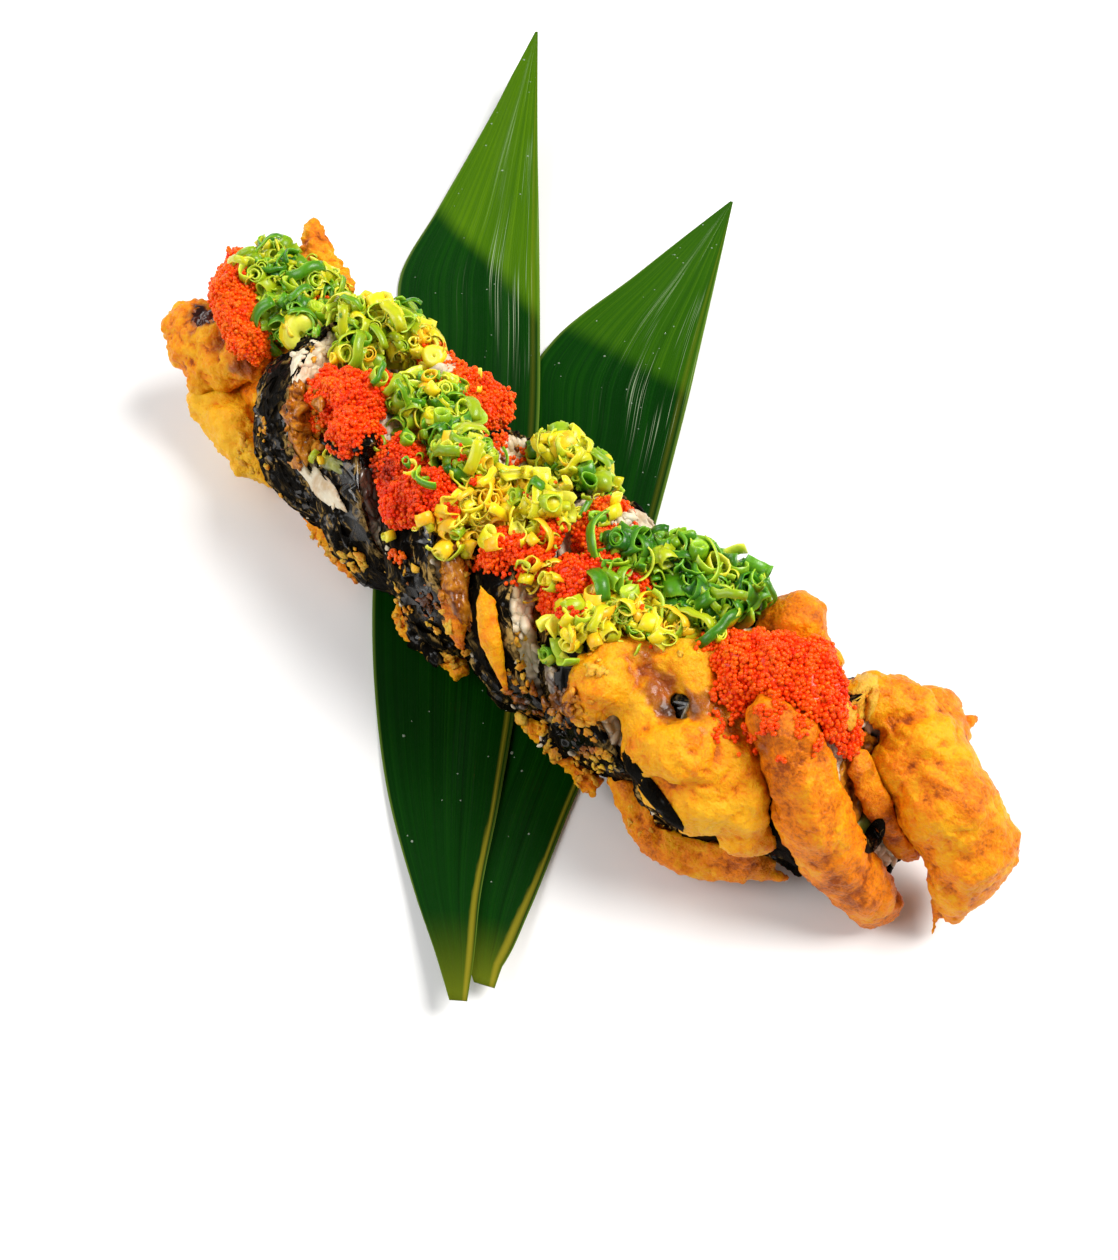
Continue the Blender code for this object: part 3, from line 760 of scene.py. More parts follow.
def even_points(mesh: bpy.types.Mesh, spacing: float, rng: np.random.Generator,
                keep: Callable[[np.ndarray], np.ndarray] | None = None
                ) -> list[tuple[Vector, Vector]]:
    """Points spread evenly over a mesh.

    Args:
        mesh: The mesh.
        spacing: Least distance between two points, in metres.
        rng: Seeded random numbers.
        keep: Picks faces from their normals, as a mask.

    Returns:
        Places with their normals.
    """
    mesh.calc_loop_triangles()
    count = len(mesh.loop_triangles)
    corners = np.empty(count * 3, np.int32)
    mesh.loop_triangles.foreach_get("vertices", corners)
    places, _ = vertex_data(mesh)
    a, b, c = (places[corners.reshape(-1, 3)[:, i]].astype(np.float64) for i in range(3))
    cross = np.cross(b - a, c - a)
    area = np.linalg.norm(cross, axis=1) / 2
    normals = cross / np.maximum(2 * area, 1e-15)[:, None]
    weight = area.copy()
    if keep is not None:
        weight *= keep(normals)
    total = weight.sum()
    if total <= 0:
        return []
    tries = int(TRIES * total / spacing ** 2) + 8
    chosen = rng.choice(count, tries, p=weight / total)
    u, v = rng.random(tries), rng.random(tries)
    flip = u + v > 1
    u[flip], v[flip] = 1 - u[flip], 1 - v[flip]
    spots = a[chosen] + u[:, None] * (b - a)[chosen] + v[:, None] * (c - a)[chosen]
    tree = KDTree(tries)
    for index, spot in enumerate(spots):
        tree.insert(spot, index)
    tree.balance()
    alive = np.ones(tries, bool)
    picked = []
    for index in range(tries):
        if alive[index]:
            picked.append((Vector(spots[index]), Vector(normals[chosen[index]])))
            for _, near, _ in tree.find_range(spots[index], spacing):
                alive[near] = False
    return picked


class Scatter:
    """Many copies of a few small shapes, joined as one mesh."""

    def __init__(self, name: str) -> None:
        """Start empty."""
        self.name = name
        self.laid: dict[bpy.types.Mesh, list[tuple[Matrix, float]]] = {}

    def add(self, shape: bpy.types.Mesh, place: Matrix, tone: float) -> None:
        """Lay one copy.

        Args:
            shape: The shape's mesh.
            place: Its matrix.
            tone: Its place in the finish's range of colours.
        """
        self.laid.setdefault(shape, []).append((place, tone))

    def count(self) -> int:
        """Number of copies laid."""
        return sum(len(copies) for copies in self.laid.values())

    def build(self) -> bpy.types.Object:
        """Join the copies.

        Returns:
            One object whose mesh carries the attributes tone and skin.
        """
        places, corners, starts, tones, skins = [], [], [], [], []
        vertex_base = corner_base = 0
        for shape, copies in self.laid.items():
            own, _ = vertex_data(shape)
            loops = np.empty(len(shape.loops), np.int32)
            shape.loops.foreach_get("vertex_index", loops)
            begin = np.empty(len(shape.polygons), np.int32)
            shape.polygons.foreach_get("loop_start", begin)
            skin = np.ones(len(own), np.float32)
            if "skin" in shape.attributes:
                shape.attributes["skin"].data.foreach_get("value", skin)
            turns = np.array([matrix for matrix, _ in copies], np.float64)
            moved = np.einsum("kij,nj->kni", turns[:, :3, :3], own) + turns[:, None, :3, 3]
            shift = np.arange(len(copies), dtype=np.int32)[:, None]
            places.append(moved.reshape(-1, 3))
            corners.append((loops[None] + shift * len(own) + vertex_base).ravel())
            starts.append((begin[None] + shift * len(loops) + corner_base).ravel())
            tones.append(np.repeat([tone for _, tone in copies], len(own)))
            skins.append(np.tile(skin, len(copies)))
            vertex_base += len(own) * len(copies)
            corner_base += len(loops) * len(copies)
        mesh = bpy.data.meshes.new(self.name)
        mesh.vertices.add(vertex_base)
        mesh.loops.add(corner_base)
        mesh.polygons.add(sum(len(start) for start in starts))
        mesh.vertices.foreach_set("co", np.concatenate(places).astype(np.float32).ravel())
        mesh.loops.foreach_set("vertex_index", np.concatenate(corners))
        mesh.polygons.foreach_set("loop_start", np.concatenate(starts))
        mesh.update(calc_edges=True)
        set_number(mesh, "tone", np.concatenate(tones))
        set_number(mesh, "skin", np.concatenate(skins))
        return link(self.name, mesh)


def shape_mesh(name: str, bm: bmesh.types.BMesh, skins: Sequence[float] | None = None
               ) -> bpy.types.Mesh:
    """Keep a small shape's mesh for scattering.

    Args:
        name: Its name.
        bm: Its geometry, which is freed.
        skins: For every vertex 1 on the outer skin and 0 on a cut side.

    Returns:
        The mesh.
    """
    bmesh.ops.recalc_face_normals(bm, faces=bm.faces[:])
    mesh = bpy.data.meshes.new(name)
    bm.to_mesh(mesh)
    bm.free()
    if skins:
        set_number(mesh, "skin", np.array(skins, np.float32))
    return mesh


def upright(normal: Vector, turn: float) -> Matrix:
    """Rotation that points Z along normal and turns about it."""
    return normal.to_track_quat("Z", "Y").to_matrix().to_4x4() @ Matrix.Rotation(turn, 4, "Z")


# ---------------------------------------------------------------- viewpoint


@dataclass(frozen=True)
class Viewpoint:
    """Where the camera stands and how it looks at the row."""

    width: float = 1118.0
    height: float = 1260.0
    focal: float = 1200.0
    azimuth: float = 41.5
    elevation: float = 56.8
    place: Vector = Vector((147.67, -186.28, 278.43)) * MM

    def axes(self) -> tuple[Vector, Vector, Vector]:
        """Right, up and back directions of the camera."""
        a, e = math.radians(self.azimuth), math.radians(self.elevation)
        back = Vector((math.sin(a) * math.cos(e), -math.cos(a) * math.cos(e), math.sin(e)))
        right = Vector((math.cos(a), math.sin(a), 0.0))
        return right, back.cross(right), back

    def ray(self, x: float, y: float) -> Vector:
        """Direction through one point of the frame."""
        right, up, back = self.axes()
        line = right * (x - self.width / 2) - up * (y - self.height / 2) - back * self.focal
        return line.normalized()

    def set_up(self) -> None:
        """Make the camera."""
        right, up, back = self.axes()
        data = bpy.data.cameras.new("camera")
        data.sensor_width = 36.0
        data.lens = 36.0 * self.focal / self.height
        data.clip_start, data.clip_end = 0.01, 10.0
        turn = Matrix((right, up, back)).transposed().to_4x4()
        bpy.context.scene.camera = link("camera", data, Matrix.Translation(self.place) @ turn)


VIEW = Viewpoint()


class Ground:
    """The row's solids as one surface that things are laid on."""

    def __init__(self) -> None:
        """Collect every node."""
        bm = merged(*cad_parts.keys())
        self.tree = BVHTree.FromBMesh(bm)
        bm.free()

    def seen(self, x: float, y: float) -> tuple[Vector, Vector] | None:
        """The surface that shows at one point of the frame.

        Args:
            x: Distance from the frame's left side.
            y: Distance from its top.

        Returns:
            Place and normal, or None where nothing shows.
        """
        spot, normal, _, _ = self.tree.ray_cast(VIEW.place, VIEW.ray(x, y))
        if spot is None:
            return None
        if normal.dot(VIEW.place - spot) < 0:
            normal = -normal
        return spot, normal


@dataclass(frozen=True)
class Patch:
    """Part of the frame over which loose things are strewn: an oval, how many, size and tone."""

    x: float
    y: float
    reach_x: float
    reach_y: float
    count: int
    size: float = 1.0
    tone: float = 0.5

    def spots(self, ground: Ground, rng: np.random.Generator) -> list[tuple[Vector, Vector]]:
        """Find where they land.

        Args:
            ground: The row's surface.
            rng: Seeded random numbers.

        Returns:
            Places with their surface directions.
        """
        landed = []
        for _ in range(self.count):
            angle, share = rng.uniform(0, 2 * math.pi), math.sqrt(rng.random())
            found = ground.seen(self.x + self.reach_x * share * math.cos(angle),
                                self.y + self.reach_y * share * math.sin(angle))
            if found and found[0].z > LEAF_TOP:
                landed.append(found)
        return landed


# ---------------------------------------------------------------- sauce


@dataclass(frozen=True)
class Splash:
    """One place where sauce fell: frame position, reach in millimetres and depth of colour."""

    x: float
    y: float
    reach: float
    depth: float = 1.0
    drop: bool = False


SPLASHES = [
    Splash(205, 315, 6.5, 1.0, True), Splash(243, 368, 6.0, 0.5), Splash(222, 340, 5.0, 0.35),
    Splash(330, 398, 6.0, 0.45), Splash(310, 385, 5.0, 0.35), Splash(333, 452, 6.0, 0.8),
    Splash(365, 472, 8.5, 1.0, True), Splash(378, 508, 8.0, 1.0, True), Splash(392, 470, 8.0, 0.8),
    Splash(360, 520, 7.0, 0.6), Splash(403, 500, 7.0, 0.5), Splash(414, 520, 5.0, 0.4),
    Splash(300, 520, 6.0, 0.9, True), Splash(318, 560, 6.0, 0.8),
    Splash(455, 600, 6.0, 0.4), Splash(425, 600, 6.0, 0.9, True),
    Splash(535, 575, 7.0, 0.7), Splash(448, 545, 7.0, 0.6),
    Splash(560, 690, 10.0, 0.8), Splash(530, 705, 8.0, 0.8), Splash(575, 740, 6.0, 0.9, True),
    # The four splashes round 672, 710 darken the hollow in the crab body from orange to near black: painted
    # shade of the hollow, dark as sauce.
    Splash(672, 710, 5.0, 0.9), Splash(690, 704, 4.0, 0.8), Splash(660, 690, 6.5, 0.5),
    Splash(642, 668, 8.0, 0.42), Splash(715, 712, 6.0, 0.40), Splash(728, 726, 4.0, 0.45),
    Splash(760, 750, 4.0, 0.40), Splash(870, 770, 4.0, 0.3),
]


class Sauce:
    """Sauce that stains what it fell on and pools in a few thick drops; a few splashes paint the shade of a
    hollow in the crab body.
    """

    RIPPLES = 240.0  # bends of a splash's ragged edge, per metre
    RAGGED = 0.6  # how far they reach, as a share of the splash
    LEAST_FILM = 20  # wet vertices that a film needs
    FILM_RIM = 0.22  # amount of sauce at which a film ends
    FILM_LEVEL = 0.38  # amount at which it is level with the skin
    FILM_HEIGHT = 1.25 * MM
    FILM_WALL = 0.35 * MM

    def __init__(self, ground: Ground) -> None:
        """Find where every splash lands."""
        self.finish = SauceFinish().make()
        self.landed = []
        for splash in SPLASHES:
            found = ground.seen(splash.x, splash.y)
            if found:
                self.landed.append((splash, *found))

    def amount(self, places: np.ndarray, thick: bool) -> np.ndarray:
        """How much sauce lies at each place.

        Args:
            places: The places.
            thick: Whether only the thick pools count.

        Returns:
            Numbers from 0 (dry) to 1.
        """
        total = np.zeros(len(places))
        for splash, spot, _ in self.landed:
            if thick and not splash.drop:
                continue
            reach = splash.reach * MM
            away = np.linalg.norm(places - np.array(spot), axis=1)
            near = np.nonzero(away < reach * 1.6)[0]
            ripple = np.array([noise.fractal(Vector(places[i]) * self.RIPPLES, 0.8, 2.0, 2)
                               for i in near])
            share = 1.15 - away[near] / reach + self.RAGGED * ripple
            found = splash.depth * np.clip(share, 0.0, 1.0)
            total[near] = np.maximum(total[near], found)
        return total

    def stain(self, mesh: bpy.types.Mesh) -> None:
        """Store how much sauce every vertex carries, as the attribute sauce."""
        set_number(mesh, "sauce", self.amount(vertex_data(mesh)[0], False))

    def glaze(self, piece: bpy.types.Object, slot: str) -> None:
        """Lay a glossy film over the wettest part of a piece.

        Args:
            piece: The piece that it lies on.
            slot: Material slot for it, passed on to dress.
        """
        wet = self.amount(vertex_data(piece.data)[0], True)
        if (wet > 0.5).sum() < self.LEAST_FILM:
            return
        bm = bmesh.new()
        bm.from_mesh(piece.data)
        dry = [vert for vert, share in zip(bm.verts, wet) if share < self.FILM_RIM]
        bmesh.ops.delete(bm, geom=dry, context="VERTS")
        soften(bm, 5)
        bm.normal_update()
        depth = self.amount(np.array([vert.co for vert in bm.verts]), True)
        for vert, share in zip(bm.verts, depth):
            vert.co += vert.normal * (float(share) - self.FILM_LEVEL) * self.FILM_HEIGHT
        film = as_object(f"{piece.name}_glaze", bm)
        thicken(film, self.FILM_WALL, -1.0)
        dress(film, self.finish, slot)


# ---------------------------------------------------------------- roll slices


@dataclass
class RollSlice:
    """One slice: its number, lean and turn in degrees, the facets of its band, how deep the band's
    edges are torn and how far apart the grains lie, both in millimetres."""

    number: int
    lean: float
    yaw: float
    sides: int = 24
    tears: float = 1.6
    grain_gap: float = 1.75

    def through(self) -> Vector:
        """Direction through the slice, towards the face that shows."""
        lean, yaw = math.radians(self.lean), math.radians(self.yaw)
        return Vector((math.cos(lean) * math.cos(yaw), math.cos(lean) * math.sin(yaw), math.sin(lean)))

    def axes(self) -> Matrix:
        """Matrix from the object's axes to the slice's (through, across, up)."""
        lean, yaw = math.radians(self.lean), math.radians(self.yaw)
        turn = Matrix.Rotation(yaw, 3, "Z") @ Matrix.Rotation(-lean, 3, "Y")
        return turn.transposed()

    def wrinkle(self, through: float, angle: float, radius: float) -> float:
        """How far the band stands out at one place: sharp pleats and soft crumples.

        Args:
            through: Distance from the band's middle through the slice, in metres.
            angle: Angle round the slice.
            radius: Distance from the slice's middle, in metres.

        Returns:
            Height in metres, negative where it is drawn in.
        """
        drift = 60 * noise.noise(Vector((angle * 3.0, through * 60, self.number * 3.0))) * MM
        along = Vector((through * 240 + drift * 90, radius * angle * 75, self.number * 5.0))
        pleat = (0.30 - abs(noise.noise(along))) * 1.5 + (0.25 - abs(noise.noise(along * 2.3))) * 0.7
        crumple = noise.noise(Vector((through * 140, radius * angle * 150, self.number)))
        return (pleat * 1.5 + crumple * 1.5 - 0.35) * MM

    def build_nori(self, finish: bpy.types.Material, sauce: Sauce) -> None:
        """Wrinkled band in place of the plain one.

        Args:
            finish: The nori's material.
            sauce: Stains it.
        """
        name = f"nori_{self.number}"
        bm = merged(name)
        own = self.axes()
        through = Vector(own[0])
        bmesh.ops.dissolve_limit(bm, angle_limit=0.002, verts=bm.verts[:], edges=bm.edges[:])
        lengthwise = [edge for edge in bm.edges
                      if abs((edge.verts[1].co - edge.verts[0].co).normalized().dot(through)) > 0.9]
        bmesh.ops.subdivide_edges(bm, edges=lengthwise, cuts=3, use_grid_fill=True)
        bmesh.ops.subdivide_edges(bm, edges=bm.edges[:], cuts=8, use_grid_fill=True)
        middle = sum((vert.co for vert in bm.verts), Vector()) / len(bm.verts)
        local = [own @ (vert.co - middle) for vert in bm.verts]
        half = max(abs(point.x) for point in local)
        facet = 2 * math.pi / self.sides
        bands, edges = [], []
        outward = own.transposed()
        for vert, point in zip(bm.verts, local):
            radius = math.hypot(point.y, point.z)
            angle = math.atan2(point.y, point.z)
            within = (angle % facet) - facet / 2
            round_up = radius * (math.cos(within) / math.cos(facet / 2) - 1)
            rim = (abs(point.x) / half) ** 3
            move = round_up + self.wrinkle(point.x, angle, radius) * (1 - 0.3 * rim)
            ragged = noise.fractal(Vector((angle * 5, self.number * 2.0, 0)), 0.8, 2.0, 3)
            tear = math.copysign(ragged * self.tears * MM * rim, ragged * point.x)
            step = Vector((tear, move * math.sin(angle), move * math.cos(angle)))
            vert.co += outward @ step
            bands.append((point.x, radius * angle, 0.0))
            edges.append(rim)
        obj = as_object(f"{name}_sheet", bm)
        set_vectors(obj.data, "band", np.array(bands))
        set_number(obj.data, "edge", np.array(edges))
        sauce.stain(obj.data)
        dress(obj, finish, "nori", [name])
        sauce.glaze(obj, "nori")

    def build_rice(self, finish: bpy.types.Material, sauce: Sauce, grain: bpy.types.Mesh,
                   rng: np.random.Generator) -> None:
        """Sticky grains over both faces of the rice, on a softened ring of rice.

        Args:
            finish: The rice's material.
            sauce: Stains it.
            grain: Shape of one grain.
            rng: Seeded random numbers.
        """
        name = f"rice_{self.number}"
        obj = as_object(f"{name}_bed", merged(name))
        remesh(obj, 0.9 * MM, 2)
        relief(obj.data, lambda p: (noise.noise(p * 420) * 0.45 - 0.25) * MM)
        through = np.array(self.through())
        grains = Scatter(f"{name}_grains")
        for spot, normal in even_points(obj.data, self.grain_gap * MM, rng,
                                        lambda n: np.abs(n @ through) > 0.8):
            lift = rng.uniform(-0.55, -0.10) * MM
            tilt = Matrix.Rotation(rng.uniform(-0.35, 0.35), 4, "X")
            size = rng.uniform(0.85, 1.12)
            place = (Matrix.Translation(spot + normal * lift) @ upright(normal, rng.uniform(0, 6.28))
                     @ tilt @ Matrix.Rotation(rng.uniform(-0.3, 0.3), 4, "Y") @ Matrix.Scale(size, 4))
            grains.add(grain, place, rng.random())
        laid = grains.build()
        for piece in (obj, laid):
            sauce.stain(piece.data)
        dress(obj, finish, "rice", [name])
        dress(laid, finish, "rice")

    def build_filling(self, crab: bpy.types.Material, avocado: bpy.types.Material,
                      sauce: Sauce) -> None:
        """Craggy crab and soft avocado in place of the plain strips.

        Args:
            crab: Material of the crab.
            avocado: Material of the avocado.
            sauce: Stains them.
        """
        for kind, finish, slot, depth in (("crab_filling", crab, "filling", 1.5),
                                          ("avocado", avocado, "avocado", 0.9)):
            name = f"{kind}_{self.number}"
            obj = as_object(f"{name}_meat", merged(name))
            remesh(obj, 0.55 * MM, 3)
            relief(obj.data, lambda p: (noise.fractal(p * 230, 0.9, 2.0, 3) * depth * 0.7
                                        - 0.2 * depth) * MM)
            set_number(obj.data, "crease", crease_of(obj.data, 0.8 * MM))
            sauce.stain(obj.data)
            dress(obj, finish, slot, [name])


def rice_grain() -> bpy.types.Mesh:
    """One short plump grain, 5 mm long."""
    bm = bmesh.new()
    bmesh.ops.create_uvsphere(bm, u_segments=6, v_segments=5, radius=1.0)
    bmesh.ops.scale(bm, vec=(1.2 * MM, 2.5 * MM, 1.0 * MM), verts=bm.verts[:])
    return shape_mesh("rice_grain", bm)


@dataclass
class RollRow:
    """The seven slices."""

    slices: list[RollSlice] = field(default_factory=lambda: [
        RollSlice(1, 41, 16), RollSlice(2, 39, 15), RollSlice(3, 36, 12), RollSlice(4, 35, 10),
        RollSlice(5, 36, 9), RollSlice(6, 37, 9), RollSlice(7, 34, 6)])

    def build(self, sauce: Sauce) -> None:
        """Build and dress every slice."""
        nori, rice = NoriFinish().make(), RiceFinish().make()
        crab, avocado = FillingFinish().make(), AvocadoFinish().make()
        grain = rice_grain()
        rng = np.random.default_rng(SEED)
        for piece in self.slices:
            piece.build_nori(nori, sauce)
            piece.build_rice(rice, sauce, grain, rng)
            piece.build_filling(crab, avocado, sauce)


# ---------------------------------------------------------------- fried crab


@dataclass(frozen=True)
class Spur:
    """A pointed shred of batter: root and tip in millimetres of the row, and root radius."""

    root: tuple[float, float, float]
    tip: tuple[float, float, float]
    radius: float


@dataclass
class CrabPiece:
    """One fried piece: its node, how brown and how rough its crust is, its shreds, and how far
    its skin is drawn in, in millimetres."""

    name: str
    toast: float = 0.5
    crag: float = 1.0
    spurs: tuple[Spur, ...] = ()
    sink: float = 0.0

    def add_spurs(self, bm: bmesh.types.BMesh) -> None:
        """Add the pointed shreds before the skin is rebuilt."""
        for spur in self.spurs:
            root, tip = at(*spur.root), at(*spur.tip)
            line = tip - root
            place = Matrix.Translation((root + tip) / 2) @ upright(line.normalized(), 0.0)
            bmesh.ops.create_cone(bm, cap_ends=True, segments=10, radius1=spur.radius * MM,
                                  radius2=0.35 * MM, depth=line.length, matrix=place)

    def height(self, place: Vector) -> float:
        """Relief of the crust at one place, in metres."""
        broad = noise.noise(place * 150) * 0.75
        lump = noise.noise(place * 360) * 0.38
        fold = (abs(noise.noise(place * 210 + Vector((9.0, 0, 0)))) - 0.22) * 0.7
        knob = max(0.0, noise.noise(place * 640)) * 0.60
        fine = noise.noise(place * 1150) * 0.22
        return ((broad + lump + fold + knob + fine + 0.02) * self.crag - self.sink) * MM

    def build(self, finish: bpy.types.Material, sauce: Sauce) -> None:
        """Build and dress the piece.

        Args:
            finish: The batter's material.
            sauce: Stains it.
        """
        bm = merged(self.name)
        self.add_spurs(bm)
        obj = as_object(f"{self.name}_crust", bm)
        remesh(obj, 0.6 * MM, 6)
        relief(obj.data, self.height)
        set_number(obj.data, "crease", crease_of(obj.data, 0.9 * MM))
        sauce.stain(obj.data)
        dress(obj, finish, "batter", [self.name])
        sauce.glaze(obj, "batter")


@dataclass
class FriedCrab:
    """Every fried piece that bursts from the row."""

    pieces: list[CrabPiece] = field(default_factory=lambda: [
        CrabPiece("crab_body", 0.12), CrabPiece("crab_leg", 0.90, 0.85),
        CrabPiece("crab_claw", 0.50, 1.0,
                  (Spur((123, 4, 10), (126, -1, 3), 2.2), Spur((103, 31, 32), (106, 36, 34), 2.4))),
        CrabPiece("crab_inner_leg", 0.8, 0.8), CrabPiece("crab_knob", 0.75, 0.8),
        CrabPiece("crab_flap", 0.60, 1.0, (Spur((84, -19, 8), (93, -14, 7), 3.0),)),
        CrabPiece("crab_tail_high", 0.25, 1.5), CrabPiece("crab_tail_low", -0.90, 1.5),
        CrabPiece("crab_tail_core", 0.7, 1.0,
                  (Spur((-110, 1, 20), (-97, -8, 33), 6.5), Spur((-111, 2, 20), (-122, 7, 10), 6.5))),
        CrabPiece("crab_tail_spike", 0.25, 1.9), CrabPiece("crab_bit_middle", 1.0),
        CrabPiece("crab_bit_low", 0.25, 0.45,
                  (Spur((12.5, -28.5, 45), (20, -32, 36), 2.7),
                   Spur((9, -25.5, 49), (3.5, -22, 53), 2.4))),
        CrabPiece("crust_first", 0.2, 2.6, sink=0.9),
        CrabPiece("crust_middle", 0.2, 2.6, sink=0.9),
        CrabPiece("crust_last", 0.2, 2.4, sink=0.7)])

    def build(self, sauce: Sauce) -> None:
        """Build and dress every piece."""
        for piece in self.pieces:
            finish = BatterFinish(f"batter_{piece.name}", toast=piece.toast).make()
            piece.build(finish, sauce)


# ---------------------------------------------------------------- roe


def egg() -> bpy.types.Mesh:
    """One egg of 1 mm."""
    bm = bmesh.new()
    bmesh.ops.create_uvsphere(bm, u_segments=6, v_segments=4, radius=0.57 * MM)
    return shape_mesh("egg", bm)


def clump(eggs: Scatter, shape: bpy.types.Mesh, spot: Vector, normal: Vector, tone: float,
          rng: np.random.Generator) -> None:
    """A few eggs that stick together.

    Args:
        eggs: Where they are laid.
        shape: One egg.
        spot: Where the clump sits.
        normal: Surface direction there.
        tone: How light its eggs are.
        rng: Seeded random numbers.
    """
    turn = upright(normal, 0.0)
    reach = rng.uniform(0.5, 1.1)
    for _ in range(rng.integers(5, 16)):
        side, front = rng.normal(0, reach, 2)
        height = max(0.0, 1.3 - math.hypot(side, front) / reach * 0.7) * rng.uniform(0.1, 1.0)
        place = Matrix.Translation(spot + turn @ (Vector((side, front, height)) * MM))
        eggs.add(shape, place @ Matrix.Scale(rng.uniform(0.8, 1.15), 4),
                 tone + rng.uniform(-0.2, 0.2))


@dataclass
class RoeHeap:
    """One heap of roe: its node, how light its eggs are, and spacings in millimetres."""

    node: str
    tone: float = 0.5
    clump_gap: float = 3.0
    egg_gap: float = 0.86

    def build(self, finish: bpy.types.Material, sauce: Sauce, shape: bpy.types.Mesh,
              rng: np.random.Generator) -> None:
        """Eggs over an uneven core.

        Args:
            finish: The roe's material.
            sauce: Stains it.
            shape: One egg.
            rng: Seeded random numbers.
        """
        core = as_object(f"{self.node}_core", merged(self.node))
        remesh(core, 0.8 * MM, 2)
        relief(core.data, lambda p: (noise.noise(p * 230) * 1.5 + noise.noise(p * 520) * 1.1
                                     + noise.noise(p * 1000) * 0.4 - 0.25) * MM)
        eggs = Scatter(f"{self.node}_eggs")
        for spot, normal in even_points(core.data, self.clump_gap * MM, rng,
                                        lambda n: n[:, 2] > -0.1):
            clump(eggs, shape, spot, normal, self.tone + rng.normal(0.08, 0.12), rng)
        for spot, normal in even_points(core.data, self.egg_gap * MM, rng,
                                        lambda n: n[:, 2] > -0.35):
            lift = rng.uniform(-0.15, 0.40) * MM
            size = rng.uniform(0.85, 1.18)
            tone = self.tone + 0.45 * noise.noise(spot * 160) + rng.uniform(-0.25, 0.25)
            place = Matrix.Translation(spot + normal * lift) @ Matrix.Scale(size, 4)
            eggs.add(shape, place, tone)
        laid = eggs.build()
        set_number(core.data, "tone", np.full(len(core.data.vertices), self.tone - 0.25))
        for piece in (core, laid):
            sauce.stain(piece.data)
        dress(core, finish, "roe", [self.node])
        dress(laid, finish, "roe")


@dataclass
class Roe:
    """Every heap of roe."""

    heaps: list[RoeHeap] = field(default_factory=lambda: [
        RoeHeap("roe_tail", 0.75), RoeHeap("roe_second", 0.50), RoeHeap("roe_third", 0.42),
        RoeHeap("roe_far", 0.6), RoeHeap("roe_middle", 0.5), RoeHeap("roe_ridge", 0.6),
        RoeHeap("roe_fifth", 0.42), RoeHeap("roe_mound", 0.50)])
    loose: list[Patch] = field(default_factory=lambda: [
        Patch(243, 300, 24, 50, 22, tone=0.7), Patch(350, 408, 38, 42, 46, tone=0.5),
        Patch(430, 482, 48, 42, 52, tone=0.35), Patch(500, 432, 36, 36, 40, tone=0.6),
        Patch(448, 372, 18, 14, 14, tone=0.7), Patch(540, 486, 20, 16, 14, tone=0.7),
        Patch(510, 556, 32, 26, 26, tone=0.45), Patch(607, 522, 20, 18, 18, tone=0.75),
        Patch(575, 598, 36, 38, 38, tone=0.4), Patch(635, 592, 12, 18, 12, tone=0.6),
        Patch(780, 698, 76, 62, 70, tone=0.55), Patch(398, 557, 9, 6, 4, tone=0.8),
        Patch(318, 300, 10, 8, 4, tone=0.7), Patch(690, 640, 40, 14, 12, tone=0.6)])

    def build(self, sauce: Sauce, ground: Ground) -> None:
        """Build and dress every heap, then strew loose clumps round them."""
        finish, shape = RoeFinish().make(), egg()
        rng = np.random.default_rng(SEED + 1)
        for heap in self.heaps:
            heap.build(finish, sauce, shape, rng)
        eggs = Scatter("roe_loose")
        for patch in self.loose:
            for spot, normal in patch.spots(ground, rng):
                clump(eggs, shape, spot, normal, patch.tone, rng)
        laid = eggs.build()
        sauce.stain(laid.data)
        dress(laid, finish, "roe")


# ---------------------------------------------------------------- scallion


class Cut(Enum):
    """Ways in which a piece of scallion was cut."""

    RING = "ring"
    NEST = "nest"
    CURL = "curl"
    STRAND = "strand"
    CHIP = "chip"
    DISC = "disc"


